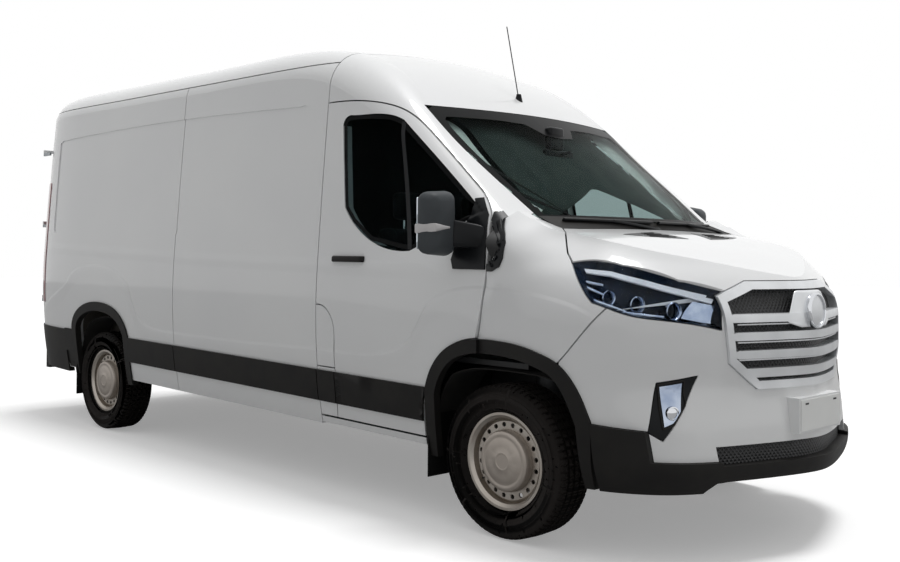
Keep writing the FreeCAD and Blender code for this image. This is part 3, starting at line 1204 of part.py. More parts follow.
def closed_section(sketch, points):
    """Straight lines through named points, each point bound to the sheet."""
    count = len(points)
    zero = {"0"}
    start = [Vector(*[evaluate(text) for text in point], 0) for point in points]
    for a, b in zip(start, start[1:] + start[:1]):
        sketch.addGeometry(Part.LineSegment(a, b), False)
    for k in range(count):
        sketch.addConstraint(Sketcher.Constraint("Coincident", k, 2, (k + 1) % count, 1))
    for k, (across, up_text) in enumerate(points):
        for kind, text in (("DistanceX", across), ("DistanceY", up_text)):
            value = evaluate(text)
            if text in zero:
                on = -2 if kind == "DistanceX" else -1
                sketch.addConstraint(Sketcher.Constraint("PointOnObject", k, 1, on))
                continue
            number = sketch.addConstraint(Sketcher.Constraint(kind, -1, 1, k, 1, value))
            sketch.setExpression("Constraints[%d]" % number, text.format_map(CellNames()))


def evaluate(text):
    """The number that an expression stands for."""
    if text == "0":
        return 0.0
    return float(sheet.evalExpression(text.format_map(InSheet())))


class InSheet(dict):
    """Turns a name in braces into a reference from within the sheet."""

    def __missing__(self, alias):
        return alias


def revolved(name, points, at, turn):
    body = doc.addObject("PartDesign::Body", name)
    sketch = sketch_on(body, name + "Section", "XY_Plane")
    closed_section(sketch, points)
    spin = body.newObject("PartDesign::Revolution", name + "Spin")
    spin.Profile = sketch
    spin.ReferenceAxis = (sketch, ["V_Axis"])
    spin.Angle = 360
    doc.recompute()
    if turn:
        body.Placement = Placement(Vector(), Rotation(180, 0, 0))
    place(body, at)
    return body


BEAD = "{rim_width} / 2 - {rim_flange_width} - {seat_gap}"
FLANGE_IN = "{rim_width} / 2 - {rim_flange_width}"
half_tyre = [
    ("{rim_radius} + {seat_gap}", BEAD), ("{rim_flange} + {tyre_bead_rise}", BEAD),
    ("{tyre_low_radius}", "{tyre_low_width} / 2"), ("{tyre_wide_radius}", "{tyre_width} / 2"),
    ("{tyre_high_radius}", "{tyre_high_width} / 2"),
    ("{tyre_radius} - {tyre_shoulder}", "{tread_width} / 2 + {tyre_shoulder}"),
    ("{tyre_radius} - {tread_drop}", "{tread_width} / 2"), ("{tyre_radius}", "{tread_width} / 4")]
tyre_points = half_tyre + [(r, "-(" + y + ")") for r, y in reversed(half_tyre)]
rim_points = [
    ("0", "-{brake_inner}"), ("{brake_radius}", "-{brake_inner}"),
    ("{brake_radius}", "-{brake_inner} + {brake_thickness}"),
    ("{hub_radius}", "-{brake_inner} + {brake_thickness}"), ("{hub_radius}", "{disc_hub_y}"),
    ("{rim_hole_circle} - {rim_hole_radius} - {rim_wall}", "{disc_crest_y} - {rim_wall}"),
    ("{rim_hole_circle} + {rim_hole_radius} + {rim_wall} / 2", "{disc_crest_y} - {rim_wall}"),
    ("{rim_radius} - {rim_wall}", "{disc_edge_y} - {rim_wall}"),
    ("{rim_radius} - {rim_wall}", "-{rim_width} / 2"), ("{rim_flange}", "-{rim_width} / 2"),
    ("{rim_flange}", "-({rim_width} / 2 - {rim_flange_width})"),
    ("{rim_radius}", "-({rim_width} / 2 - {rim_flange_width})"),
    ("{rim_radius}", FLANGE_IN), ("{rim_flange}", FLANGE_IN), ("{rim_flange}", "{rim_width} / 2"),
    ("{rim_flange} - {rim_flange_width}", "{rim_width} / 2"),
    ("{rim_radius} - {rim_wall}", "{rim_width} / 2 - {rim_lip_drop}"),
    ("{rim_radius} - {rim_wall}", "{disc_edge_y}"),
    ("{rim_hole_circle} + {rim_hole_radius} + {rim_wall} / 2", "{disc_crest_y}"),
    ("{rim_hole_circle} - {rim_hole_radius} - {rim_wall}", "{disc_crest_y}"),
    ("{hub_cap_radius}", "{disc_crest_y} - {rim_dish}"),
    ("{hub_cap_radius}", "{disc_crest_y} + {rim_dish}"),
    ("{hub_cap_radius} - {hub_cap_round}", "{disc_crest_y} + {hub_cap_depth}"),
    ("0", "{disc_crest_y} + {hub_cap_depth} + {rim_dish}")]


def rim(name, at, turn):
    """A pressed steel wheel: well, disc with a ring of round holes, cap and brake disc."""
    body = revolved(name, rim_points, at, turn)
    sketch = sketch_on(body, name + "Hole", "XZ_Plane")
    count = int(cell.rim_hole_count)
    for k in range(count):
        turned = "((%d + 0.5) * 360 / {rim_hole_count})" % k
        across = "{rim_hole_circle} * cos(" + turned + ")"
        along_z = "{rim_hole_circle} * sin(" + turned + ")"
        middle = Vector(evaluate(across), evaluate(along_z), 0)
        circle = sketch.addGeometry(
            Part.Circle(middle, Vector(0, 0, 1), cell.rim_hole_radius), False)
        for kind, text, value in (("DistanceX", across, middle.x), ("DistanceY", along_z, middle.y)):
            number = sketch.addConstraint(Sketcher.Constraint(kind, -1, 1, circle, 3, value))
            sketch.setExpression("Constraints[%d]" % number, text.format_map(CellNames()))
        number = sketch.addConstraint(
            Sketcher.Constraint("Radius", circle, cell.rim_hole_radius))
        sketch.setExpression("Constraints[%d]" % number, "Sizes.rim_hole_radius")
    holes = body.newObject("PartDesign::Pocket", name + "Holes")
    holes.Profile = sketch
    holes.Type = 1
    holes.Midplane = True
    doc.recompute()
    return body


wheels = {}
for end, axle, track in (("Front", FRONT_AXLE, "{track_front}"), ("Rear", REAR_AXLE, "{track_rear}")):
    for word, sign in (("Left", ""), ("Right", "-")):
        at = (axle, sign + track + " / 2", "{tyre_radius}")
        turn = word == "Right"
        wheels["tyre", end, word] = revolved("Tyre" + end + word, tyre_points, at, turn)
        wheels["rim", end, word] = rim("Rim" + end + word, at, turn)

# Black strips along the sides and round the wheel arches, and the mud flaps.
proud = cell.trim_proud
band_skin = body_tube(-proud).cut(body_tube(-cell.trim_seat))
band_low_share = 0.1985
band_high_share = 0.265


def strip(back, front):
    region = slab(band_low_share, band_high_share, back, front)
    piece = band_skin.common(region.common(block(
        back, front, -wide_y, 0, 0, up(1))))
    return largest(piece.cut(side_prism(rear_arch_shares, cell.glass_gap)))


bumper_edge = along(-0.829)
arch_end = along(-0.70)
strips = [strip(bumper_edge, arch_end), strip(arch_end, along(mid_seam_share) - half_gap),
          strip(along(mid_seam_share) + half_gap, seam_x - half_gap)]
foot_strip = band_skin.common(slab(band_low_share, band_high_share, seam_x, along(0.1)))
strips.append(largest(foot_strip.common(side_prism(pillar_foot_shares, -half_gap))))
strips_right = skin("StripsRight", Part.makeCompound(strips))
strips_left = mirrored("StripsLeft", strips_right)
side_mouldings = group("SideMouldings", [strips_right, strips_left])

trim_back = inner_tube(cell.trim_depth)
rear_trim = body_tube(-proud).common(rear_arch.cut(rear_arch_open)).cut(trim_back)
split_x = along(0.515)
front_band = front_arch.cut(front_arch_open)
back_part = block(seam_x, split_x, -wide_y, 0, 0, up(1))
nose_part = block(split_x, nose_x + far, -wide_y, 0, 0, up(1))
trim_tube = body_tube(-proud).cut(trim_back).common(front_band).common(back_part)
trim_nose = nose_block(-proud).cut(hidden_nose(cell.trim_depth)).common(front_band).common(nose_part)
trim_nose = trim_nose.cut(side_prism(corner_shares, cell.seat_gap))
front_trim = largest(trim_tube).fuse(largest(trim_nose)).removeSplitter()
trims = [largest(rear_trim.cut(bumper_side)), largest(front_trim)]
trims_right = skin("ArchTrimsRight", Part.makeCompound(trims))
trims_left = mirrored("ArchTrimsLeft", trims_right)
arch_trims = group("ArchTrims", [trims_right, trims_left])

flaps = []
for x in (cell.front_flap_x, cell.rear_flap_x):
    flap = block(x, x + cell.flap_thickness, -cell.flap_y - cell.flap_width, -cell.flap_y,
                 cell.flap_bottom, cell.flap_top)
    for trim in trims:
        flap = flap.cut(trim)
    flap = flap.cut(outer.cut(trim_back))
    flaps.append(largest(flap))
flaps_right = skin("FlapsRight", Part.makeCompound(flaps))
flaps_left = mirrored("FlapsLeft", flaps_right)
mud_flaps = group("MudFlaps", [flaps_right, flaps_left])

# Rear bumper.
bumper_back_x = tail_x - cell.rear_bumper_proud
rear_block = block(bumper_back_x, bumper_back_x + cell.rear_bumper_depth,
                   -cell.rear_bumper_half_width, cell.rear_bumper_half_width,
                   cell.rear_bumper_bottom, cell.rear_bumper_top)
rear_wrap = body_tube(-proud).cut(trim_back).common(bumper_side)
rear_wrap = largest(rear_wrap.cut(tail_hole))
rear_bumper = skin("RearBumper", rear_block.fuse([rear_wrap, mirror(rear_wrap)]).removeSplitter())

# Rear door hinges: knuckles on a bracket from the body's corner, straps on the door.
hinge_x = tail_x - cell.hinge_setback
hinge_y = cell.hinge_reach
root_hinges = []
door_straps = []
for level in (cell.hinge_low, cell.hinge_mid, cell.hinge_high):
    low = level - cell.hinge_knuckle
    at = Vector(hinge_x, -hinge_y, low)
    leaf = cell.hinge_leaf
    lug = Part.makeCylinder(cell.hinge_radius, cell.hinge_knuckle - 1, at)
    pin = Part.makeCylinder(cell.hinge_pin_radius, 2 * cell.hinge_knuckle, at)
    bracket = block(hinge_x, hinge_x + cell.hinge_bracket, -hinge_y - leaf / 2,
                    -hinge_y + leaf / 2, low, level - 1).cut(outer)
    root_hinges.append(largest(bracket).fuse([lug, pin]).removeSplitter())
    at = Vector(hinge_x, -hinge_y, level)
    knuckle_ring = Part.makeCylinder(cell.hinge_radius, cell.hinge_knuckle, at)
    strap = block(hinge_x - cell.hinge_strap_thickness / 2, hinge_x + cell.hinge_strap_thickness / 2,
                  -hinge_y, -hinge_y + cell.hinge_strap_length, level,
                  level + cell.hinge_knuckle)
    pad = block(hinge_x, tail_x, -hinge_y + cell.hinge_strap_length - cell.hinge_pad,
                -hinge_y + cell.hinge_strap_length, level, level + cell.hinge_knuckle)
    bore = Part.makeCylinder(cell.hinge_pin_radius + cell.hinge_pin_gap,
                             2 * cell.hinge_knuckle, at)
    door_straps.append(knuckle_ring.fuse([strap, pad]).removeSplitter().cut(bore))
hinges_right = skin("HingesRight", Part.makeCompound(root_hinges))
hinges_left = mirrored("HingesLeft", hinges_right)
rear_hinges = group("RearHinges", [hinges_right, hinges_left])
panel = largest(rear_shell.common(right_half))
rear_door_shape = panel.fuse(door_straps).removeSplitter()
rear_door_right = skin("RearDoorRight", largest(rear_door_shape))
rear_door_left = mirrored("RearDoorLeft", rear_door_right)

# What a front door carries: mirror, handle and black strip.
mirror_head = block(cell.mirror_x - cell.mirror_depth / 2, cell.mirror_x + cell.mirror_depth / 2,
                    -cell.mirror_y - cell.mirror_width / 2, -cell.mirror_y + cell.mirror_width / 2,
                    cell.mirror_z - cell.mirror_height / 2, cell.mirror_z + cell.mirror_height / 2)
upright = [e for e in mirror_head.Edges if abs(e.tangentAt(0).z) > 0.5]
mirror_head = mirror_head.makeFillet(cell.mirror_round, upright)
level = [e for e in mirror_head.Edges if abs(e.Vertexes[0].Z - e.Vertexes[-1].Z) < 1]
mirror_head = mirror_head.makeChamfer(cell.mirror_round / 3, level)
arm_start = Vector(cell.mirror_x, -cell.mirror_arm_y, cell.mirror_arm_z)
mirror_arm = Part.makeCylinder(cell.mirror_arm_radius, cell.mirror_y - cell.mirror_arm_y,
                               arm_start, Vector(0, -1, 0))
mirror_shape = largest(mirror_head.fuse(mirror_arm).cut(body_tube(-cell.trim_seat)))
handle_shell = body_tube(-cell.handle_proud).cut(body_tube(-cell.trim_seat))
handle = largest(handle_shell.common(block(
    cell.handle_x, cell.handle_x + cell.handle_length, -wide_y, 0, cell.handle_z,
    cell.handle_z + cell.handle_height)))
door_band = slab(band_low_share, band_high_share, seam_x, nose_x)
door_strip = band_skin.common(door_band).common(side_prism(door_shares, -half_gap))
door_strip = largest(door_strip)
fittings_right = skin("DoorFittingsRight", Part.makeCompound([mirror_shape, handle, door_strip]))
fittings_left = mirrored("DoorFittingsLeft", fittings_right)
door_left = mirrored("DoorFrontLeft", door_right)
glass_left = mirrored("DoorGlassLeft", glass_right)

# Antenna on the cab roof.
foot_share = (cell.antenna_x - seam_x) / cell.cab_length
antenna_z = raked(cell.antenna_x, body_top(foot_share, 0))
antenna_foot = Vector(cell.antenna_x, 0, antenna_z - cell.antenna_base_height)
antenna_base = Part.makeCone(cell.antenna_base_radius, cell.antenna_base_radius / 2,
                             2 * cell.antenna_base_height, antenna_foot)
lean = Vector(-cell.antenna_lean, 0, cell.antenna_height)
mast = Part.makeCylinder(cell.antenna_radius, lean.Length, Vector(cell.antenna_x, 0, antenna_z), lean)
antenna = skin("Antenna", largest(antenna_base.fuse(mast).cut(body_tube(-cell.seat_gap))))

NODES = dict(
    roof_panel=roof_panel, cab_shell=cab_shell, side_panels_right=side_panels_right,
    side_panels_left=side_panels_left, sliding_door=sliding_door, door_frames=door_frames,
    load_floor=load_floor, cab_floor=cab_floor, chassis_frame=chassis_frame,
    front_carrier=carrier, fenders=fenders, front_bumper=bumper, bumper_lip=lip, grille=grille,
    front_mesh=meshes, headlamps=headlamps, fog_lamps=fog_lamps, number_plate=plate,
    rear_bumper=rear_bumper, tail_lamps=tail_lamps, side_mouldings=side_mouldings,
    arch_trims=arch_trims, mud_flaps=mud_flaps, windscreen=windscreen, cowl=cowl,
    antenna=antenna, dashboard=dashboard, driver_seat=driver_seat,
    passenger_bench=passenger_bench, engine=engine, fuel_tank=fuel_tank, exhaust=exhaust,
    front_suspension=front_suspension, rear_axle=rear_axle, rear_hinges=rear_hinges,
    door_front_right=door_right, door_front_left=door_left, door_glass_right=glass_right,
    door_glass_left=glass_left, door_fittings_right=fittings_right,
    door_fittings_left=fittings_left, bonnet=bonnet, rear_door_right=rear_door_right,
    rear_door_left=rear_door_left, fuel_flap=fuel_flap, knuckle_left=knuckles["Left"],
    knuckle_right=knuckles["Right"], steering_wheel=steering_wheel)
for kind, end, word in wheels:
    NODES["_".join((kind, end.lower(), word.lower()))] = wheels[kind, end, word]

doc.recompute()
for piece in doc.Objects:
    wrong = [word for word in piece.State if word in ("Invalid", "Error")]
    if wrong:
        raise SystemExit("%s: %s" % (piece.Name, wrong))
os.makedirs("parts", exist_ok=True)
for label, piece in NODES.items():
    piece.Label = label
    shape = piece.Shape
    if shape.isNull() or not shape.isValid():
        raise SystemExit(label + " has no valid shape")
    print(label, len(shape.Solids), round(shape.Volume / 1e6, 2), len(shape.Faces))
    shape.exportStep("parts/" + label + ".step")
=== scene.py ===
import bpy
import math
from mathutils import Matrix, Vector
from mathutils.bvhtree import BVHTree


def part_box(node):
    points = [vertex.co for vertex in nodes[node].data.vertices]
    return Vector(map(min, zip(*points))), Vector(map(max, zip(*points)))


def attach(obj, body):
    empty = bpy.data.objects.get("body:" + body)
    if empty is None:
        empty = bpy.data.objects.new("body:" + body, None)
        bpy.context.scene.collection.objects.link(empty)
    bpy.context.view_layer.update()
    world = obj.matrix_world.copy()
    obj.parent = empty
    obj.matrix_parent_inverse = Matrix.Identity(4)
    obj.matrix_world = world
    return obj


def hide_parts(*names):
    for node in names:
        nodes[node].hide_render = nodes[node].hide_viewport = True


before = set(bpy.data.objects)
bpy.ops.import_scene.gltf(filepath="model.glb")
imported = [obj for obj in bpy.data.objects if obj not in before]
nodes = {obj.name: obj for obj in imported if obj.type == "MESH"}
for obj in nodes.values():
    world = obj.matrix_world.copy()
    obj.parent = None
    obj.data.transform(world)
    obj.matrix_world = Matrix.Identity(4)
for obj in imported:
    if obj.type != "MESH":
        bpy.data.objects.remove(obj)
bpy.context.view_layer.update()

print("frame loaded", len(nodes), "nodes")


# ---------- small helpers

def toLinear(hexColour):
    parts = [int(hexColour[i:i + 2], 16) / 255 for i in (1, 3, 5)]
    return [((c + 0.055) / 1.055) ** 2.4 if c > 0.04045 else c / 12.92 for c in parts] + [1.0]


def addNode(tree, kind, settings={}, links={}):
    node = tree.nodes.new(kind)
    for name, value in settings.items():
        if isinstance(name, str) and hasattr(node, name):
            setattr(node, name, value)
        else:
            node.inputs[name].default_value = value
    for name, (source, output) in links.items():
        tree.links.new(source.outputs[output], node.inputs[name])
    return node


def startMaterial(name, colour, settings):
    material = bpy.data.materials.new(name)
    material.use_nodes = True
    tree = material.node_tree
    shader = tree.nodes["Principled BSDF"]
    shader.inputs["Base Color"].default_value = toLinear(colour)
    for key, value in settings.items():
        shader.inputs[key].default_value = value
    return material, tree, shader


def addGrain(tree, shader, size, depth, detail=3.0):
    # a bump from noise whose grains are that many metres across
    place = addNode(tree, "ShaderNodeTexCoord")
    noise = addNode(tree, "ShaderNodeTexNoise", {"Scale": 1 / size, "Detail": detail},
                    {"Vector": (place, "Object")})
    bump = addNode(tree, "ShaderNodeBump", {"Strength": 1.0, "Distance": depth},
                   {"Height": (noise, "Fac")})
    tree.links.new(bump.outputs["Normal"], shader.inputs["Normal"])
    return noise


def addDrift(tree, shader, size, colours):
    # slow change of colour over the surface
    place = addNode(tree, "ShaderNodeTexCoord")
    noise = addNode(tree, "ShaderNodeTexNoise", {"Scale": 1 / size, "Detail": 2.0},
                    {"Vector": (place, "Object")})
    ramp = addNode(tree, "ShaderNodeValToRGB", {}, {"Fac": (noise, "Fac")})
    for stop, colour in zip(ramp.color_ramp.elements, colours):
        stop.color = toLinear(colour)
    ramp.color_ramp.elements[0].position = 0.3
    ramp.color_ramp.elements[1].position = 0.7
    tree.links.new(ramp.outputs["Color"], shader.inputs["Base Color"])


# ---------- finishes

enamel = {"base": "#EEEFF0", "drift": ("#ECEDEE", "#F1F2F2"), "patch": 0.9,
          "settings": {"Roughness": 0.42, "Coat Weight": 0.8, "Coat Roughness": 0.06, "IOR": 1.5}}
panelLines = {
    "spanX": 6.0,              # metres covered by the line curves, from -3 to 3
    "spanZ": 2.6,
    "rake": 0.014,
    "flareRise": 0.006,
    "flareFoot": 0.11,
    "flareHead": 0.022,
    "flare": [(-2.45, 0.930), (-2.316, 0.994), (-2.20, 1.085), (-2.044, 1.132), (-1.628, 1.130),
              (-1.50, 1.095), (-1.377, 1.035), (-1.29, 0.90), (-1.198, 0.790), (-1.05, 0.752),
              (-0.75, 0.742), (0.731, 0.770), (1.20, 0.790), (1.38, 0.850), (1.460, 0.938),
              (1.571, 1.080), (1.748, 1.141), (1.993, 1.148), (2.243, 1.125), (2.428, 1.073),
              (2.544, 0.959)],
    "belt": [(-2.9, 1.272), (-2.3, 1.266), (-0.8, 1.240), (0.7, 1.229), (1.5, 1.222)],
    "end": (2.38, 2.52),       # where the flare fades out towards the nose
    "beltWidth": 0.05,
    "beltEnd": (1.2, 1.6),
    "beltShare": 0.5,          # of the flare's rise
}
roofRibs = {"scale": 1.36, "edge": (0.56, 0.66), "depth": 0.005}


def lineHeight(tree, x, z, table, foot, head):
    # a soft ridge along a line that a table gives as height over x
    span = panelLines["spanX"]
    curve = addNode(tree, "ShaderNodeFloatCurve")
    points = curve.mapping.curves[0].points
    for k, (px, pz) in enumerate(table):
        at = ((px + span / 2) / span, pz / panelLines["spanZ"])
        if k < 2:
            points[k].location = at
        else:
            points.new(*at)
    curve.mapping.update()
    share = addNode(tree, "ShaderNodeMapRange",
                    {"From Min": -span / 2, "From Max": span / 2}, {"Value": x})
    tree.links.new(share.outputs["Result"], curve.inputs["Value"])
    line = addNode(tree, "ShaderNodeMath", {"operation": "MULTIPLY", 1: panelLines["spanZ"]},
                   {0: (curve, "Value")})
    above = addNode(tree, "ShaderNodeMath", {"operation": "SUBTRACT"}, {0: (z, 0), 1: (line, 0)})
    rise = addNode(tree, "ShaderNodeMapRange",
                   {"interpolation_type": "SMOOTHSTEP", "From Min": -foot, "From Max": 0.0},
                   {"Value": (above, 0)})
    drop = addNode(tree, "ShaderNodeMapRange",
                   {"interpolation_type": "SMOOTHSTEP", "From Min": 0.0, "From Max": head,
                    "To Min": 1.0, "To Max": 0.0}, {"Value": (above, 0)})
    return addNode(tree, "ShaderNodeMath", {"operation": "MULTIPLY"},
                   {0: (rise, "Result"), 1: (drop, "Result")})


def makeBodyPaint():
    # solid white acrylic enamel, sprayed and baked, under a clear wet-looking gloss
    material, tree, shader = startMaterial("whiteAcrylicEnamel", enamel["base"],
                                           enamel["settings"])
    addDrift(tree, shader, enamel["patch"], enamel["drift"])
    place = addNode(tree, "ShaderNodeTexCoord")
    split = addNode(tree, "ShaderNodeSeparateXYZ", {}, {"Vector": (place, "Object")})
    x = (split, "X")
    z = addNode(tree, "ShaderNodeMath", {"operation": "MULTIPLY_ADD", 1: panelLines["rake"]},
                {0: (split, "X"), 2: (split, "Z")})
    flare = lineHeight(tree, x, z, panelLines["flare"], panelLines["flareFoot"],
                       panelLines["flareHead"])
    belt = lineHeight(tree, x, z, panelLines["belt"], panelLines["beltWidth"],
                      panelLines["beltWidth"])
    start, end = panelLines["end"]
    fade = addNode(tree, "ShaderNodeMapRange",
                   {"interpolation_type": "SMOOTHSTEP", "From Min": start, "From Max": end,
                    "To Min": 1.0, "To Max": 0.0}, {"Value": x})
    flareOn = addNode(tree, "ShaderNodeMath", {"operation": "MULTIPLY"},
                      {0: (flare, 0), 1: (fade, "Result")})
    start, end = panelLines["beltEnd"]
    beltFade = addNode(tree, "ShaderNodeMapRange",
                       {"interpolation_type": "SMOOTHSTEP", "From Min": start, "From Max": end,
                        "To Min": panelLines["beltShare"], "To Max": 0.0}, {"Value": x})
    beltOn = addNode(tree, "ShaderNodeMath", {"operation": "MULTIPLY"},
                     {0: (belt, 0), 1: (beltFade, "Result")})
    both = addNode(tree, "ShaderNodeMath", {"operation": "ADD"}, {0: (flareOn, 0), 1: (beltOn, 0)})
    bump = addNode(tree, "ShaderNodeBump",
                   {"Strength": 1.0, "Distance": panelLines["flareRise"]}, {"Height": (both, 0)})
    tree.links.new(bump.outputs["Normal"], shader.inputs["Normal"])
    return material


def makeRoofPaint():
    # the same enamel over shallow cross ribs pressed into the roof, 230 mm apart
    material, tree, shader = startMaterial("ribbedRoofEnamel", enamel["base"],
                                           enamel["settings"])
    addDrift(tree, shader, enamel["patch"], enamel["drift"])
    place = addNode(tree, "ShaderNodeTexCoord")
    wave = addNode(tree, "ShaderNodeTexWave",
                   {"Scale": roofRibs["scale"], "wave_profile": "SIN"},
                   {"Vector": (place, "Object")})
    split = addNode(tree, "ShaderNodeSeparateXYZ", {}, {"Vector": (place, "Object")})
    side = addNode(tree, "ShaderNodeMath", {"operation": "ABSOLUTE"}, {0: (split, "Y")})
    start, end = roofRibs["edge"]
    inside = addNode(tree, "ShaderNodeMapRange",
                     {"interpolation_type": "SMOOTHSTEP", "From Min": start, "From Max": end,
                      "To Min": 1.0, "To Max": 0.0}, {"Value": (side, 0)})
    ribs = addNode(tree, "ShaderNodeMath", {"operation": "MULTIPLY"},
                   {0: (wave, "Fac"), 1: (inside, "Result")})
    bump = addNode(tree, "ShaderNodeBump", {"Strength": 1.0, "Distance": roofRibs["depth"]},
                   {"Height": (ribs, 0)})
    tree.links.new(bump.outputs["Normal"], shader.inputs["Normal"])
    return material


def makeMoulded(name, colours, roughness, grainSize, grainDepth, settings={}):
    # injection-moulded or cast stock: soft sheen, fine grain, slight unevenness of shade
    material, tree, shader = startMaterial(name, colours[0], dict(
        {"Roughness": roughness, "IOR": 1.48}, **settings))
    addGrain(tree, shader, grainSize, grainDepth)
    addDrift(tree, shader, 0.12, colours)
    return material


def makeMetal(name, colours, roughness, grainSize, grainDepth):
    # bare or thinly coated metal with faint handling marks in its gloss
    material, tree, shader = startMaterial(name, colours[0], {
        "Roughness": roughness, "Metallic": 1.0})
    noise = addGrain(tree, shader, grainSize, grainDepth)
    addDrift(tree, shader, 0.08, colours)
    gloss = addNode(tree, "ShaderNodeMapRange",
                    {"To Min": roughness * 0.75, "To Max": roughness * 1.3},
                    {"Value": (noise, "Fac")})
    tree.links.new(gloss.outputs["Result"], shader.inputs["Roughness"])
    return material


def makeGlass(name, colour, roughness):
    # clear pane that bends and mirrors little; faint waviness as moulded stock has
    material, tree, shader = startMaterial(name, colour, {
        "Roughness": roughness, "Transmission Weight": 1.0, "IOR": 1.03})
    addGrain(tree, shader, 0.6, 0.0004, 0.0)
    return material


def makeMesh():
    # black moulded lattice: diamonds 16 mm across, drawn by two crossed waves; the gaps between
    # the bars are painted near black as painted shade in the openings
    material, tree, shader = startMaterial("blackLatticeShadedGaps", "#0B0B0C", {"Roughness": 0.5})
    place = addNode(tree, "ShaderNodeTexCoord")
    heights = []
    for turn in (0.7, -0.7):
        turned = addNode(tree, "ShaderNodeMapping", {"Rotation": (turn, 0, 0)},
                         {"Vector": (place, "Object")})
        heights.append(addNode(tree, "ShaderNodeTexWave",
                               {"Scale": 20.0, "bands_direction": "Y"},
                               {"Vector": (turned, "Vector")}))
    top = addNode(tree, "ShaderNodeMath", {"operation": "MAXIMUM"},
                  {0: (heights[0], "Fac"), 1: (heights[1], "Fac")})
    # low between the waves: painted shade in the gaps; on the crests: the bars' own dark grey
    ramp = addNode(tree, "ShaderNodeValToRGB", {}, {"Fac": (top, 0)})
    ramp.color_ramp.elements[0].position = 0.80
    ramp.color_ramp.elements[0].color = toLinear("#040404")
    ramp.color_ramp.elements[1].position = 0.92
    ramp.color_ramp.elements[1].color = toLinear("#26272A")
    bump = addNode(tree, "ShaderNodeBump", {"Strength": 1.0, "Distance": 0.004},
                   {"Height": (top, 0)})
    tree.links.new(ramp.outputs["Color"], shader.inputs["Base Color"])
    tree.links.new(bump.outputs["Normal"], shader.inputs["Normal"])
    return material


def makeCloth():
    # woven polyester seat cloth, threads 1.5 mm apart drawn at 4 mm so that they show
    material, tree, shader = startMaterial("wovenSeatCloth", "#2B2F33", {
        "Roughness": 0.85, "Sheen Weight": 0.3, "Sheen Roughness": 0.4})
    place = addNode(tree, "ShaderNodeTexCoord")
    waves = [addNode(tree, "ShaderNodeTexWave", {"Scale": 80.0, "bands_direction": way},
                     {"Vector": (place, "Object")}) for way in ("Y", "DIAGONAL")]
    weave = addNode(tree, "ShaderNodeMath", {"operation": "MULTIPLY"},
                    {0: (waves[0], "Fac"), 1: (waves[1], "Fac")})
    ramp = addNode(tree, "ShaderNodeValToRGB", {}, {"Fac": (weave, 0)})
    ramp.color_ramp.elements[0].color = toLinear("#1E2124")
    ramp.color_ramp.elements[1].color = toLinear("#41464B")
    bump = addNode(tree, "ShaderNodeBump", {"Strength": 0.6, "Distance": 0.001},
                   {"Height": (weave, 0)})
    tree.links.new(ramp.outputs["Color"], shader.inputs["Base Color"])
    tree.links.new(bump.outputs["Normal"], shader.inputs["Normal"])
    return material


paint = makeBodyPaint()
roofPaint = makeRoofPaint()
dull = {"Specular IOR Level": 0.18}
blackTrim = makeMoulded("mouldedBlackPolypropylene", ("#1B1A1A", "#22211F"), 0.55, 0.003, 0.0002,
                        dull)
gloveBlack = makeMoulded("smoothBlackAbs", ("#101214", "#16181B"), 0.30, 0.010, 0.0001, dull)
mirrorGrey = makeMoulded("mouldedGreyBlackAbs", ("#45494C", "#4D5154"), 0.48, 0.002, 0.0001,
                         dull)
tyreRubber = makeMoulded("vulcanisedRubber", ("#1D1A18", "#25211F"), 0.72, 0.004, 0.0003, dull)
flapRubber = makeMoulded("mouldedFlapRubber", ("#0E0E0E", "#141414"), 0.70, 0.006, 0.0003, dull)
wheelSilver = makeMoulded("silverWheelLacquer", ("#A8A097", "#B9B3AB"), 0.34, 0.02, 0.0001,
                          {"Metallic": 0.75})
capSilver = makeMoulded("silverCapPlastic", ("#A89F96", "#B7AEA5"), 0.40, 0.03, 0.0001,
                        {"Metallic": 0.45})
grilleSilver = makeMoulded("satinSilverPlating", ("#DADCDE", "#E6E8EA"), 0.30, 0.03, 0.0001,
                           {"Metallic": 0.55})
chrome = makeMetal("brightChromePlating", ("#D4D6DA", "#DDDFE2"), 0.08, 0.02, 0.00005)
lampMirror = makeMetal("blueTintedLampMirror", ("#8E9CB4", "#BFC8D6"), 0.16, 0.012, 0.0004)
lampBlack = makeMoulded("lampHousingPlastic", ("#0B1018", "#142030"), 0.25, 0.01, 0.0001, dull)
lampBar = makeMoulded("frostedLightBar", ("#D5D9E0", "#E9ECF0"), 0.35, 0.004, 0.0002,
                      {"Transmission Weight": 0.3})
lampClear = makeGlass("clearPolycarbonate", "#F4F7FA", 0.01)
lampRed = makeMoulded("redTailPolycarbonate", ("#8E0A12", "#A30E16"), 0.12, 0.008, 0.0004,
                      {"Transmission Weight": 0.25, "Coat Weight": 0.6})
lampWhite = makeMoulded("clearReversePolycarbonate", ("#C9C6C6", "#DEDCDC"), 0.15, 0.006, 0.0004)
screenGlass = makeGlass("greenLaminatedGlass", "#BFCBC8", 0.0)
sideGlass = makeGlass("greenTemperedGlass", "#A9B7B8", 0.0)
frit = makeMoulded("blackCeramicBand", ("#08090A", "#0D0F10"), 0.30, 0.01, 0.00003,
                   {"Specular IOR Level": 0.05})
trimGrey = makeMoulded("greyGreenPillarPlastic", ("#8F958F", "#9AA09A"), 0.62, 0.002, 0.0002)
# dark felt lining for faces looking into the cab, also laid as a painted shade sheet behind the
# windscreen
liningAndShadeGrey = makeMoulded("darkLiningFeltAndShade", ("#363D3D", "#424948"), 0.85, 0.003, 0.0004, dull)
dashBlack = makeMoulded("softDashPlastic", ("#26292B", "#2E3133"), 0.60, 0.0025, 0.0003)
seatCloth = makeCloth()
lattice = makeMesh()
carrierCoat = makeMoulded("electrocoatBlack", ("#131415", "#1A1B1C"), 0.50, 0.008, 0.0002)
linerFelt = makeMoulded("pressedArchFelt", ("#161514", "#22201E"), 0.90, 0.004, 0.0006)
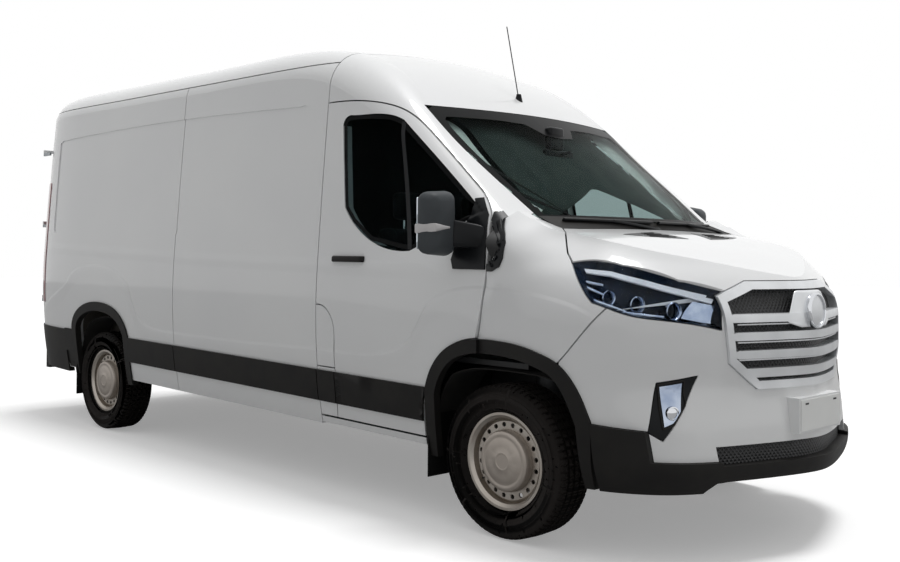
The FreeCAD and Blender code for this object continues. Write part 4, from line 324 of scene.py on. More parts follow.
floorPanel = makeMoulded("greyFloorPly", ("#6A6660", "#77736C"), 0.60, 0.012, 0.0003)
castIron = makeMetal("castIron", ("#4B4C4E", "#5C5D5F"), 0.55, 0.006, 0.0005)
engineAlloy = makeMetal("sandCastAluminium", ("#7E8083", "#95979A"), 0.50, 0.005, 0.0005)
pipeSteel = makeMetal("aluminisedSteel", ("#77746F", "#8E8B86"), 0.42, 0.02, 0.0002)
tankPlastic = makeMoulded("blowMouldedTank", ("#1B1C1E", "#242527"), 0.50, 0.02, 0.0005)
plateWhite = makeMoulded("enamelledPlateSheet", ("#F2F3F1", "#F7F8F6"), 0.35, 0.05, 0.0001)
hingeGrey = makeMetal("zincPlatedSteel", ("#8B8F93", "#A3A7AA"), 0.38, 0.004, 0.0002)
mirrorFace = makeMetal("silveredMirrorGlass", ("#C9D0D6", "#CED5DA"), 0.03, 0.4, 0.00001)
print("finishes made", len(bpy.data.materials))

nodeFinish = {
    "roof_panel": roofPaint, "cab_shell": paint, "side_panels_right": paint,
    "side_panels_left": paint, "sliding_door": paint, "door_frames": paint,
    "load_floor": floorPanel, "cab_floor": carrierCoat, "chassis_frame": carrierCoat,
    "front_carrier": carrierCoat, "fenders": paint, "front_bumper": paint,
    "bumper_lip": blackTrim, "grille": grilleSilver, "front_mesh": lattice,
    "headlamps": lampBlack, "fog_lamps": gloveBlack, "number_plate": plateWhite,
    "rear_bumper": blackTrim, "tail_lamps": lampRed, "side_mouldings": blackTrim,
    "arch_trims": blackTrim, "mud_flaps": flapRubber, "windscreen": screenGlass,
    "cowl": blackTrim, "antenna": gloveBlack, "dashboard": dashBlack,
    "driver_seat": seatCloth, "passenger_bench": seatCloth, "engine": engineAlloy,
    "fuel_tank": tankPlastic, "exhaust": pipeSteel, "front_suspension": castIron,
    "rear_axle": castIron, "rear_hinges": hingeGrey, "door_front_right": paint,
    "door_front_left": paint, "door_glass_right": sideGlass, "door_glass_left": sideGlass,
    "door_fittings_right": blackTrim, "door_fittings_left": blackTrim, "bonnet": paint,
    "rear_door_right": paint, "rear_door_left": paint, "fuel_flap": paint,
    "knuckle_left": castIron, "knuckle_right": castIron, "steering_wheel": dashBlack,
}
for end in ("front", "rear"):
    for side in ("left", "right"):
        nodeFinish["tyre_%s_%s" % (end, side)] = tyreRubber
        nodeFinish["rim_%s_%s" % (end, side)] = wheelSilver
for name, node in nodes.items():
    node.data.materials.clear()
    node.data.materials.append(nodeFinish[name])

# faces that look into the cab are trim, not paint
linedNodes = ("cab_shell", "door_front_right", "door_front_left", "door_frames")
for name in linedNodes:
    mesh = nodes[name].data
    mesh.materials.append(trimGrey)
    mesh.materials.append(liningAndShadeGrey)
    for face in mesh.polygons:
        fromAxis = Vector((0, face.center.y, face.center.z - 1.35))
        if face.normal.dot(fromAxis) < -0.02 * fromAxis.length:
            pillar = name == "cab_shell" and face.center.x > 1.35 and face.center.y > 0
            face.material_index = 1 if pillar else 2
# the door frames' band across the windscreen gets the dark lining as painted shade, standing for
# the shaded cab behind the glass
paintedShadeSheet = {"half": 0.62, "behind": 1.10, "above": 1.42}
for face in nodes["door_frames"].data.polygons:
    x, y, z = face.center
    if abs(y) < paintedShadeSheet["half"] and x > paintedShadeSheet["behind"] and z > paintedShadeSheet["above"]:
        face.material_index = 2
bulkhead = nodes["load_floor"].data
bulkhead.materials.append(dashBlack)
for face in bulkhead.polygons:
    if face.center.x > 0.60 and face.center.z > 0.70:
        face.material_index = 1
print("cad nodes finished")


# ---------- modelling helpers

def clearSelection():
    if bpy.context.object and bpy.context.object.mode != "OBJECT":
        bpy.ops.object.mode_set(mode="OBJECT")
    bpy.ops.object.select_all(action="DESELECT")


def applyModifier(piece, kind, **settings):
    bpy.context.view_layer.objects.active = piece
    modifier = piece.modifiers.new(kind.title(), kind)
    for key, value in settings.items():
        setattr(modifier, key, value)
    bpy.ops.object.modifier_apply(modifier=modifier.name)


def tidyMesh(piece, merge=0.00001):
    bpy.context.view_layer.objects.active = piece
    bpy.ops.object.mode_set(mode="EDIT")
    bpy.ops.mesh.select_all(action="SELECT")
    bpy.ops.mesh.remove_doubles(threshold=merge)
    bpy.ops.mesh.normals_make_consistent(inside=False)
    bpy.ops.object.mode_set(mode="OBJECT")


def finishPiece(piece, name, body, material, smoothAngle=35):
    clearSelection()
    piece.select_set(True)
    bpy.context.view_layer.objects.active = piece
    bpy.ops.object.transform_apply(location=True, rotation=True, scale=True)
    bpy.ops.object.shade_smooth_by_angle(angle=math.radians(smoothAngle))
    piece.name = name
    piece.data.name = name
    piece.data.materials.clear()
    piece.data.materials.append(material)
    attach(piece, body)
    return piece


def startBlock(centre, size, bevel, segments=3):
    clearSelection()
    bpy.ops.mesh.primitive_cube_add(size=1, location=centre)
    piece = bpy.context.object
    piece.scale = size
    bpy.ops.object.transform_apply(location=False, rotation=False, scale=True)
    if bevel:
        applyModifier(piece, "BEVEL", width=bevel, segments=segments)
    return piece


def startHull(corners, bevel, segments=3):
    # a cube whose eight corners are moved: four near ones, then four far ones
    clearSelection()
    bpy.ops.mesh.primitive_cube_add(size=2)
    piece = bpy.context.object
    order = [(-1, -1, -1), (-1, 1, -1), (-1, 1, 1), (-1, -1, 1),
             (1, -1, -1), (1, 1, -1), (1, 1, 1), (1, -1, 1)]
    for vertex in piece.data.vertices:
        key = tuple(round(c) for c in vertex.co)
        vertex.co = corners[order.index(key)]
    tidyMesh(piece)
    if bevel:
        applyModifier(piece, "BEVEL", width=bevel, segments=segments)
    return piece


def startLathe(profile, centre, axis, steps):
    # profile: (radius, distance along the axis); one vertex is drawn on and then spun
    clearSelection()
    centre = Vector(centre)
    axis = Vector(axis).normalized()
    out = axis.orthogonal().normalized()
    spots = [centre + out * r + axis * a for r, a in profile]
    bpy.ops.mesh.primitive_plane_add(size=0.01, location=spots[0])
    piece = bpy.context.object
    bpy.ops.object.transform_apply(location=True)
    bpy.ops.object.mode_set(mode="EDIT")
    bpy.ops.mesh.select_mode(type="VERT")
    bpy.ops.mesh.select_all(action="SELECT")
    bpy.ops.mesh.merge(type="CENTER")
    for a, b in zip(spots, spots[1:]):
        bpy.ops.mesh.extrude_region_move(TRANSFORM_OT_translate={"value": b - a})
    bpy.ops.mesh.select_all(action="SELECT")
    bpy.ops.mesh.spin(steps=steps, angle=2 * math.pi, center=centre, axis=axis)
    bpy.ops.object.mode_set(mode="OBJECT")
    tidyMesh(piece, 0.00005)
    return piece


def startTube(points, radius, sides=3, order=3):
    clearSelection()
    bpy.ops.curve.primitive_nurbs_path_add(location=(0, 0, 0))
    piece = bpy.context.object
    piece.data.splines.clear()
    spline = piece.data.splines.new("NURBS")
    spline.points.add(len(points) - 1)
    for knot, at in zip(spline.points, points):
        knot.co = (*at, 1.0)
    spline.order_u = order
    spline.use_endpoint_u = True
    piece.data.bevel_depth = radius
    piece.data.bevel_resolution = sides
    piece.data.use_fill_caps = True
    piece.data.resolution_u = 6
    bpy.ops.object.convert(target="MESH")
    return bpy.context.object


skins = {}


def dropPoint(targets, at, way, lift):
    # the first point of the CAD skins along a direction, lifted off them
    best = None
    nearest = None
    for target in (targets if isinstance(targets, tuple) else (targets,)):
        if target not in skins:
            mesh = nodes[target].data
            skins[target] = BVHTree.FromPolygons([v.co for v in mesh.vertices],
                                                 [tuple(p.vertices) for p in mesh.polygons])
        found = skins[target].ray_cast(Vector(at), Vector(way))
        if found[0] is not None and (best is None or found[3] < best[3]):
            best = found
        if best is None:
            nearest = nearest or skins[target].find_nearest(Vector(at))
    spot, normal = (best or nearest)[:2]
    if normal.dot(Vector(way)) > 0:
        normal = -normal
    return spot + normal * lift


def startBand(edges, across, target, way, lift, thickness, alongCuts=4):
    # a grid laid between two rows of points, dropped onto a CAD node and given a thickness
    clearSelection()
    count = (len(edges) - 1) * alongCuts
    bpy.ops.mesh.primitive_grid_add(x_subdivisions=count, y_subdivisions=across, size=1)
    piece = bpy.context.object
    for vertex in piece.data.vertices:
        u = (vertex.co.x + 0.5) * (len(edges) - 1)
        k = min(int(u + 1e-6), len(edges) - 2)
        a = Vector(edges[k][0]).lerp(Vector(edges[k + 1][0]), u - k)
        b = Vector(edges[k][1]).lerp(Vector(edges[k + 1][1]), u - k)
        vertex.co = a.lerp(b, vertex.co.y + 0.5)
        if target:
            vertex.co = dropPoint(target, vertex.co, way, lift)
    tidyMesh(piece)
    face = piece.data.polygons[len(piece.data.polygons) // 2]
    if face.normal.dot(Vector(way)) > 0:
        bpy.ops.object.mode_set(mode="EDIT")
        bpy.ops.mesh.select_all(action="SELECT")
        bpy.ops.mesh.flip_normals()
        bpy.ops.object.mode_set(mode="OBJECT")
    applyModifier(piece, "SOLIDIFY", thickness=thickness, offset=-1)
    return piece


def chooseFaces(piece, test):
    # edit mode keeps a choice of faces only if it opens in face mode
    bpy.context.tool_settings.mesh_select_mode = (False, False, True)
    for face in piece.data.polygons:
        face.select = test(face)


def copyPart(source, keep):
    # a merged copy of the faces of a CAD node that the test keeps
    clearSelection()
    piece = nodes[source].copy()
    piece.data = nodes[source].data.copy()
    for key in list(piece.keys()):
        del piece[key]
    piece.parent = None
    piece.matrix_world = Matrix.Identity(4)
    bpy.context.scene.collection.objects.link(piece)
    piece.hide_viewport = False
    piece.hide_render = False
    piece.hide_set(False)
    piece.select_set(True)
    bpy.context.view_layer.objects.active = piece
    chooseFaces(piece, lambda face: not keep(face))
    bpy.ops.object.mode_set(mode="EDIT")
    bpy.ops.mesh.delete(type="FACE")
    bpy.ops.mesh.select_all(action="SELECT")
    bpy.ops.mesh.remove_doubles(threshold=0.00005)
    bpy.ops.object.mode_set(mode="OBJECT")
    return piece


sides = {"right": -1, "left": 1}
aside = 1.3                    # points are dropped on the sides from this far out,
ahead = 3.2                    # and on the front from this far ahead


def sideRows(rows, sign, shift=0):
    return [tuple((x + shift, sign * aside, z) for x, z in pair) for pair in rows]


def frontRows(rows, sign=1):
    return [tuple((ahead, sign * y, z) for y, z in pair) for pair in rows]


print("helpers ready")


# ---------- wheels

tyre = {
    "steps": 216,
    "tread": [(0.3468, 0.0870), (0.3480, 0.0640), (0.3395, 0.0625), (0.3395, 0.0545),
              (0.3485, 0.0530), (0.3494, 0.0260), (0.3410, 0.0245), (0.3410, 0.0165),
              (0.3500, 0.0150)],
    "wall": [(0.2040, 0.0690), (0.2250, 0.0700), (0.2262, 0.0790), (0.2330, 0.0880),
             (0.2430, 0.1030), (0.2450, 0.1040), (0.2465, 0.1030), (0.2620, 0.1135),
             (0.2760, 0.1172), (0.2840, 0.1170), (0.2852, 0.1158), (0.2990, 0.1145),
             (0.3002, 0.1158), (0.3030, 0.1150), (0.3045, 0.1120), (0.3200, 0.1085),
             (0.3290, 0.1050), (0.3360, 0.1010), (0.3430, 0.0945)],
    "sipe": 0.0045,
    "shoulderBlock": 3,        # steps between two shoulder cuts
    "ribBlock": 4,
}
cap = {
    "profile": [(0.1400, 0.0500), (0.1406, 0.0640), (0.1385, 0.0755), (0.1335, 0.0845),
                (0.1255, 0.0885), (0.1160, 0.0892), (0.1120, 0.0876), (0.1040, 0.0876),
                (0.1000, 0.0898), (0.0700, 0.0932), (0.0420, 0.0950), (0.0400, 0.0962),
                (0.0345, 0.0962), (0.0328, 0.0948), (0.0, 0.0952)],
    "rib": 0.0011,             # ten flat spokes pressed into the cap
}
valve = {"radius": 0.186, "stem": 0.0045, "length": 0.028, "turn": 215}


def makeWheel(end, side):
    sign = sides[side]
    bodyName = "wheel_%s_%s" % (end, side)
    low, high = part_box("tyre_%s_%s" % (end, side))
    centre = (low + high) / 2
    axle = Vector((0, sign, 0))
    half = tyre["wall"] + tyre["tread"]
    profile = half + [(r, -y) for r, y in reversed(half)]
    piece = startLathe(profile, centre, axle, tyre["steps"])

    def isCut(face):
        arm = face.center - centre
        y = abs(arm.y)
        radius = math.hypot(arm.x, arm.z)
        step = int((math.atan2(arm.z, arm.x) / (2 * math.pi) + 1) * tyre["steps"] + 0.25)
        slant = int(y * 60) if y < 0.064 else 0
        shoulder = radius > 0.337 and y > 0.065 and step % tyre["shoulderBlock"] == 0
        rib = radius > 0.3445 and 0.026 < y < 0.054 and (step + slant) % tyre["ribBlock"] == 0
        middle = radius > 0.3445 and y < 0.015 and step % tyre["ribBlock"] == 2
        return shoulder or rib or middle

    chooseFaces(piece, isCut)
    bpy.context.view_layer.objects.active = piece
    bpy.ops.object.mode_set(mode="EDIT")
    bpy.ops.mesh.extrude_region_shrink_fatten(
        TRANSFORM_OT_shrink_fatten={"value": -tyre["sipe"]})
    bpy.ops.object.mode_set(mode="OBJECT")
    finishPiece(piece, "tyreTread_%s_%s" % (end, side), bodyName, tyreRubber, 25)
    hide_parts("tyre_%s_%s" % (end, side))

    piece = startLathe(cap["profile"], centre, axle, 80)
    for vertex in piece.data.vertices:
        arm = vertex.co - centre
        radius = math.hypot(arm.x, arm.z)
        if 0.050 < radius < 0.095:
            wave = math.cos(10 * math.atan2(arm.z, arm.x))
            vertex.co.y -= sign * cap["rib"] * max(wave, 0)
    finishPiece(piece, "wheelCap_%s_%s" % (end, side), bodyName, capSilver, 30)

    turn = math.radians(valve["turn"])
    foot = centre + Vector((math.cos(turn), 0, math.sin(turn))) * valve["radius"] \
        + axle * 0.030
    tip = foot + axle * valve["length"] - Vector((math.cos(turn), 0, math.sin(turn))) * 0.008
    piece = startTube([foot, foot.lerp(tip, 0.4), foot.lerp(tip, 0.7), tip], valve["stem"])
    finishPiece(piece, "valve_%s_%s" % (end, side), bodyName, gloveBlack)


for end in ("front", "rear"):
    for side in sides:
        makeWheel(end, side)
print("wheels made")


# ---------- wheel arch liners, below the cab's wheel boxes

liner = {
    "front": [(1.515, 0.36), (1.522, 0.50), (1.545, 0.62), (1.610, 0.715), (1.740, 0.752),
              (1.955, 0.758), (2.170, 0.752), (2.300, 0.715), (2.375, 0.62), (2.400, 0.50),
              (2.405, 0.36)],
    "rear": [(-2.195, 0.42), (-2.190, 0.56), (-2.140, 0.70), (-2.020, 0.785), (-1.805, 0.815),
             (-1.590, 0.785), (-1.470, 0.70), (-1.420, 0.56), (-1.410, 0.42)],
    "inner": {"front": 0.66, "rear": 0.735},
    "outer": {"front": 0.945, "rear": 0.965},
    "thick": 0.004,
}


def makeLiner(end, side):
    sign = sides[side]
    clearSelection()
    points = liner[end]
    bpy.ops.mesh.primitive_grid_add(x_subdivisions=(len(points) - 1) * 3, y_subdivisions=4,
                                    size=1)
    piece = bpy.context.object
    for vertex in piece.data.vertices:
        u = (vertex.co.x + 0.5) * (len(points) - 1)
        k = min(int(u + 1e-6), len(points) - 2)
        x = points[k][0] + (points[k + 1][0] - points[k][0]) * (u - k)
        z = points[k][1] + (points[k + 1][1] - points[k][1]) * (u - k)
        share = vertex.co.y + 0.5
        y = liner["inner"][end] * (1 - share) + liner["outer"][end] * share
        vertex.co = (x, sign * y, z)
    tidyMesh(piece)
    applyModifier(piece, "SMOOTH", factor=0.5, iterations=3)
    applyModifier(piece, "SOLIDIFY", thickness=liner["thick"], offset=0)
    finishPiece(piece, "archLiner_%s_%s" % (end, side), "van", linerFelt)


for end in ("front", "rear"):
    for side in sides:
        makeLiner(end, side)
print("arch liners made")


# ---------- front lamps

headlamp = {
    "coverThick": 0.003,
    "bar": [((2.372, 1.238), (2.388, 1.222)), ((2.473, 1.228), (2.480, 1.208)),
            ((2.600, 1.188), (2.606, 1.166)), ((2.700, 1.150), (2.704, 1.128)),
            ((2.770, 1.120), (2.772, 1.092))],
    "units": [((2.500, 1.125), 0.030, 0.040), ((2.600, 1.095), 0.034, 0.040),
              ((2.705, 1.065), 0.036, 0.036)],
    "fins": [((2.400, 1.190), (2.470, 1.175)), ((2.410, 1.165), (2.480, 1.135)),
             ((2.450, 1.110), (2.570, 1.062)), ((2.560, 1.060), (2.680, 1.040)),
             ((2.700, 1.020), (2.775, 1.005))],
    "screen": [((2.735, 1.105), (2.722, 1.030)), ((2.783, 1.085), (2.783, 1.005))],
    # shares of a unit's radius, and distances along its axis
    "bezel": [(1.0, 0.0), (1.06, 0.006), (1.0, 0.010), (0.82, 0.004), (0.70, -0.010),
              (0.68, -0.018), (0.9, -0.020), (1.0, 0.0)],
    "lens": [(0.68, -0.014), (0.66, -0.004), (0.55, 0.003), (0.35, 0.008), (0.15, 0.010),
             (0.0, 0.0105)],
    "gaze": (0.93, 0.36, -0.02),
    "housingThick": 0.0025,
    "skinLimit": 0.12,
}


def lampSpot(sign, x, z, depth):
    return dropPoint("headlamps", (x, sign * aside, z), (0, -sign, 0), -depth)


def makeHeadlamp(side):
    sign = sides[side]

    def outerSkin(face):
        return face.center.y * sign > 0 and face.normal.y * sign > headlamp["skinLimit"]

    def housingSkin(face):
        return face.center.y * sign > 0 and face.normal.y * sign <= headlamp["skinLimit"]

    housing = copyPart("headlamps", housingSkin)
    applyModifier(housing, "SOLIDIFY", thickness=headlamp["housingThick"], offset=-1)
    finishPiece(housing, "lampHousing_" + side, "van", lampBlack, 30)
    cover = copyPart("headlamps", outerSkin)
    applyModifier(cover, "SOLIDIFY", thickness=headlamp["coverThick"], offset=-1)
    finishPiece(cover, "lampCover_" + side, "van", lampClear, 60)
    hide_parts("headlamps")

    bar = startBand(sideRows(headlamp["bar"], sign), 3, "headlamps", (0, -sign, 0), -0.012,
                    0.008)
    finishPiece(bar, "lightBar_" + side, "van", lampBar, 50)

    for k, ((x, z), radius, depth) in enumerate(headlamp["units"]):
        spot = lampSpot(sign, x, z, depth)
        x, y, z = headlamp["gaze"]
        way = Vector((x, sign * y, z)).normalized()
        bowl = startLathe([(radius * share, at) for share, at in headlamp["bezel"]], spot, way,
                          40)
        finishPiece(bowl, "lampBezel%d_%s" % (k, side), "van", lampMirror)
        lens = startLathe([(radius * share, at) for share, at in headlamp["lens"]], spot, way,
                          32)
        finishPiece(lens, "lampLens%d_%s" % (k, side), "van", lampClear, 60)

    for k, ((x0, z0), (x1, z1)) in enumerate(headlamp["fins"]):
        a = lampSpot(sign, x0, z0, 0.018)
        b = lampSpot(sign, x1, z1, 0.018)
        drop = Vector((0, 0, -0.014))
        back = Vector((-0.010, -sign * 0.022, 0.004))
        fin = startHull([a, a + back, a + back + drop, a + drop,
                         b, b + back, b + back + drop * 0.7, b + drop * 0.7], 0.002, 2)
        finishPiece(fin, "lampFin%d_%s" % (k, side), "van", lampMirror)

    pane = startBand(sideRows(headlamp["screen"], sign), 5, "headlamps", (0, -sign, 0), -0.020,
                     0.003)
    finishPiece(pane, "lampPane_" + side, "van", lampMirror, 50)


for side in sides:
    makeHeadlamp(side)
print("headlamps made")

fogLamp = {
    "pane": [((0.806, 0.748), (0.806, 0.585)), ((0.765, 0.755), (0.775, 0.600)),
             ((0.724, 0.762), (0.742, 0.640))],
    "lens": (0.772, 0.640, 0.030),
    "dome": [(1.0, 0.0), (0.96, 0.005), (0.8, 0.007), (0.74, 0.004), (0.5, 0.007), (0.25, 0.009),
             (0.0, 0.0095)],
    "rim": [(0.812, 0.756), (0.760, 0.766), (0.716, 0.772), (0.722, 0.720), (0.736, 0.640),
            (0.775, 0.590), (0.812, 0.575), (0.815, 0.660), (0.812, 0.756)],
}


def makeFogLamp(side):
    sign = sides[side]
    way = (-1, 0, 0)
    pane = startBand(frontRows(fogLamp["pane"], sign), 6, "fog_lamps", way, 0.0012, 0.003, 5)
    finishPiece(pane, "fogPane_" + side, "van", lampMirror, 50)
    rim = [dropPoint("fog_lamps", (ahead, sign * y, z), way, 0.002) for y, z in fogLamp["rim"]]
    edge = startTube(rim, 0.0035, 2, 2)
    finishPiece(edge, "fogRim_" + side, "van", blackTrim)
    y, z, radius = fogLamp["lens"]
    spot = dropPoint("fog_lamps", (ahead, sign * y, z), way, 0.0)
    lens = startLathe([(radius * share, at) for share, at in fogLamp["dome"]], spot,
                      (0.92, sign * 0.38, 0), 36)
    finishPiece(lens, "fogLens_" + side, "van", chrome, 50)


for side in sides:
    makeFogLamp(side)
print("fog lamps made")


# ---------- grille badge, mesh and vents

badge = {
    "centre": (2.9540, 0.0, 1.050),
    "ring": [(0.0770, -0.020), (0.0790, -0.004), (0.0770, 0.003), (0.0715, 0.005),
             (0.0680, 0.001), (0.0680, -0.014)],
    "disc": [(0.0685, -0.012), (0.0680, -0.003), (0.0480, 0.0000), (0.0240, 0.0015),
             (0.0, 0.0018)],
    "plinth": [(2.912, -0.210, 1.000), (2.912, 0.210, 1.000), (2.900, 0.120, 1.142),
               (2.900, -0.120, 1.142), (2.9395, -0.115, 0.975), (2.9395, 0.115, 0.975),
               (2.9300, 0.085, 1.136), (2.9300, -0.085, 1.136)],
}
slatLip = {"heights": (0.9960, 0.9200, 0.8460, 0.7720), "above": (1.020, 0.950, 0.868, 0.794),
           "reach": (0.470, 0.470, 0.465, 0.400), "height": 0.0055, "set": 0.0060,
           "stations": 13, "thick": 0.0040}


def makeBadge():
    spot = Vector(badge["centre"])
    lean = (1, 0, 0.05)
    ring = startLathe(badge["ring"], spot, lean, 64)
    finishPiece(ring, "badgeRing", "van", chrome)
    disc = startLathe(badge["disc"], spot, lean, 64)
    finishPiece(disc, "badgeDisc", "van", grilleSilver, 50)
    plinth = startHull(badge["plinth"], 0.010, 4)
    finishPiece(plinth, "badgePlinth", "van", grilleSilver)


makeBadge()

# a narrow second edge below each slat of the grille
for k, (z, above) in enumerate(zip(slatLip["heights"], slatLip["above"])):
    rows = []
    for station in range(slatLip["stations"]):
        y = slatLip["reach"][k] * (2 * station / (slatLip["stations"] - 1) - 1)
        front = dropPoint("grille", (ahead, y, above), (-1, 0, 0), 0)
        x = front.x - slatLip["set"]
        rows.append(((x, y, z), (x, y, z + slatLip["height"])))
    lip = startBand(rows, 1, None, (-1, 0, 0), 0, slatLip["thick"], 1)
    finishPiece(lip, "slatLip%d" % k, "van", grilleSilver, 50)

bonnetVent = {
    "rows": [((2.291, 0.512), (2.284, 0.506)), ((2.330, 0.400), (2.262, 0.380)),
             ((2.358, 0.270), (2.238, 0.250)), ((2.372, 0.180), (2.222, 0.178)),
             ((2.379, 0.105), (2.372, 0.100))],
    "above": 2.0,
    "bars": 4,
    "inner": ((2.345, -0.028), (0.16, 0.02)),      # first place and step, in x and in y
    "outer": ((2.330, -0.022), (0.36, -0.01)),
}


def ventSpot(k, end, sign):
    (x, stepX), (y, stepY) = bonnetVent[end]
    at = (x + stepX * k, sign * (y + stepY * k), bonnetVent["above"])
    return dropPoint("bonnet", at, (0, 0, -1), 0.002)


for side in sides:
    sign = sides[side]
    rows = [tuple((x, sign * y, bonnetVent["above"]) for x, y in pair)
            for pair in bonnetVent["rows"]]
    vent = startBand(rows, 3, "bonnet", (0, 0, -1), 0.0012, 0.003)
    finishPiece(vent, "bonnetVent_" + side, "bonnet", gloveBlack, 50)
    for k in range(bonnetVent["bars"]):
        a, b = ventSpot(k, "inner", sign), ventSpot(k, "outer", sign)
        bar = startTube([a, a.lerp(b, 0.33), a.lerp(b, 0.67), b], 0.0022, 2)
        finishPiece(bar, "ventBar%d_%s" % (k, side), "bonnet", blackTrim)
print("badge and vents made")


# ---------- windscreen band, sensor and wipers

screenBand = {
    "side": [((0.700, 1.4600), (0.690, 1.5100)), ((0.738, 1.4700), (0.702, 1.5150)),
             ((0.765, 1.6000), (0.722, 1.6200)), ((0.785, 1.7740), (0.742, 1.7740)),
             ((0.789, 1.9300), (0.745, 1.9200)), ((0.789, 2.0300), (0.738, 1.9750)),
             ((0.740, 2.0530), (0.715, 1.9930)), ((0.412, 2.0545), (0.400, 1.9980)),
             ((0.200, 2.0555), (0.200, 1.9900)), ((0.130, 2.0560), (0.120, 1.9300)),
             ((0.000, 2.0560), (0.000, 1.9200))],
    "low": [((-0.710, 1.4585), (-0.700, 1.4760)), ((-0.350, 1.4585), (-0.350, 1.4760)),
            ((0.0, 1.4585), (0.0, 1.4760)), ((0.350, 1.4585), (0.350, 1.4760)),
            ((0.710, 1.4585), (0.700, 1.4760))],
    "lift": 0.0009,
    "thick": 0.0006,
}


for side in sides:
    band = startBand(frontRows(screenBand["side"], sides[side]), 4, "windscreen", (-1, 0, 0),
                     screenBand["lift"], screenBand["thick"], 6)
    finishPiece(band, "screenBand_" + side, "van", frit, 60)
band = startBand(frontRows(screenBand["low"]), 4, "windscreen", (-1, 0, 0),
                 screenBand["lift"], screenBand["thick"], 10)
finishPiece(band, "screenBandLow", "van", frit, 60)

sensorSpot = dropPoint("windscreen", (ahead, 0.0, 1.945), (-1, 0, 0), -0.030)
sensor = startBlock(sensorSpot, (0.050, 0.120, 0.130), 0.015)
finishPiece(sensor, "screenSensor", "van", gloveBlack)
stemSpot = dropPoint("windscreen", (ahead, 0.0, 1.860), (-1, 0, 0), -0.020)
glassSpot = stemSpot + Vector((-0.075, -0.01, -0.020))
stem = startTube([stemSpot, stemSpot.lerp(glassSpot, 0.5), glassSpot], 0.009)
finishPiece(stem, "innerMirrorStem", "van", gloveBlack)
innerMirror = startBlock(glassSpot, (0.028, 0.250, 0.062), 0.010)
finishPiece(innerMirror, "innerMirror", "van", gloveBlack)

scuttle = {"ends": (-0.735, 0.735), "stations": 15, "high": 1.4680, "low": 1.3990,
           "thick": 0.004}


def scuttleSpot(y, share, lift):
    # a point between the foot of the windscreen and the cowl, lifted forward and up
    high = dropPoint("windscreen", (ahead, y, scuttle["high"]), (-1, 0, 0), 0.0020)
    low = dropPoint("cowl", (ahead, y, scuttle["low"]), (-1, 0, 0), 0.0015)
    return high.lerp(low, share) + Vector((0.85, 0, 0.52)) * lift


start, end = scuttle["ends"]
rows = []
for k in range(scuttle["stations"]):
    y = start + (end - start) * k / (scuttle["stations"] - 1)
    rows.append((scuttleSpot(y, 1.0, 0), scuttleSpot(y, 0.0, 0)))
seal = startBand(rows, 3, None, (-1, 0, 0), 0, scuttle["thick"], 2)
finishPiece(seal, "scuttleSeal", "van", blackTrim, 50)

wiper = {
    "blades": [(-0.640, -0.420, -0.200, 0.000), (0.060, 0.260, 0.460, 0.660)],
    "pivots": (0.040, 0.690),
    "share": 0.30,
    "pivotShare": 0.80,
}
for k, row in enumerate(wiper["blades"]):
    points = [scuttleSpot(y, wiper["share"], 0.005) for y in row]
    rubber = startTube(points, 0.0045, 2)
    finishPiece(rubber, "wiperRubber%d" % k, "van", flapRubber)
    points = [scuttleSpot(y, wiper["share"], 0.013) for y in row]
    spine = startTube(points, 0.0070, 2)
    finishPiece(spine, "wiperSpine%d" % k, "van", gloveBlack)
    pivot = scuttleSpot(wiper["pivots"][k], wiper["pivotShare"], 0.006)
    middle = points[1].lerp(points[2], 0.5)
    knee = pivot.lerp(middle, 0.35) + Vector((0.006, 0, 0.004))
    arm = startTube([pivot, knee, knee.lerp(middle, 0.6), middle], 0.0080, 2)
    finishPiece(arm, "wiperArm%d" % k, "van", gloveBlack)
    boss = startLathe([(0.019, -0.016), (0.019, 0.000), (0.015, 0.005), (0.0, 0.007)], pivot,
                      (0.85, 0, 0.52), 24)
    finishPiece(boss, "wiperBoss%d" % k, "van", gloveBlack)
print("windscreen dressed")


# ---------- side glass border and divider

glassEdge = [(0.891, 1.530), (0.859, 1.755), (0.834, 1.970), (0.848, 2.004), (0.884, 2.020),
             (1.040, 2.013), (1.179, 1.995), (1.252, 1.965), (1.480, 1.774), (1.730, 1.565),
             (1.822, 1.479), (1.390, 1.304), (1.106, 1.354), (0.960, 1.453), (0.891, 1.530)]
borderWidth = 0.022
divider = [((1.243, 1.960), (1.268, 1.948)), ((1.310, 1.640), (1.336, 1.640)),
           ((1.375, 1.310), (1.402, 1.312))]


def makeGlassBorder(side):
    sign = sides[side]
    middle = Vector((1.22, 0, 1.68))
    rows = []
    for k, (x, z) in enumerate(glassEdge):
        before = glassEdge[(k - 1) % (len(glassEdge) - 1)]
        after = glassEdge[(k + 1) % (len(glassEdge) - 1)]
        along = Vector((after[0] - before[0], 0, after[1] - before[1])).normalized()
        inward = Vector((along.z, 0, -along.x))
        if inward.dot(middle - Vector((x, 0, z))) < 0:
            inward = -inward
        inner = Vector((x, 0, z)) + inward * borderWidth
        rows.append(((x, sign * aside, z), (inner.x, sign * aside, inner.z)))
    name = "door_glass_" + side
    border = startBand(rows, 2, name, (0, -sign, 0), 0.0010, 0.0008, 6)
    finishPiece(border, "glassBorder_" + side, "front_door_" + side, frit, 60)
    bar = startBand(sideRows(divider, sign), 2, name, (0, -sign, 0), 0.0040, 0.0040, 6)
    finishPiece(bar, "glassDivider_" + side, "front_door_" + side, gloveBlack,
                50)


for side in sides:
    makeGlassBorder(side)
print("side glass dressed")


# ---------- door mirrors, handles and strips

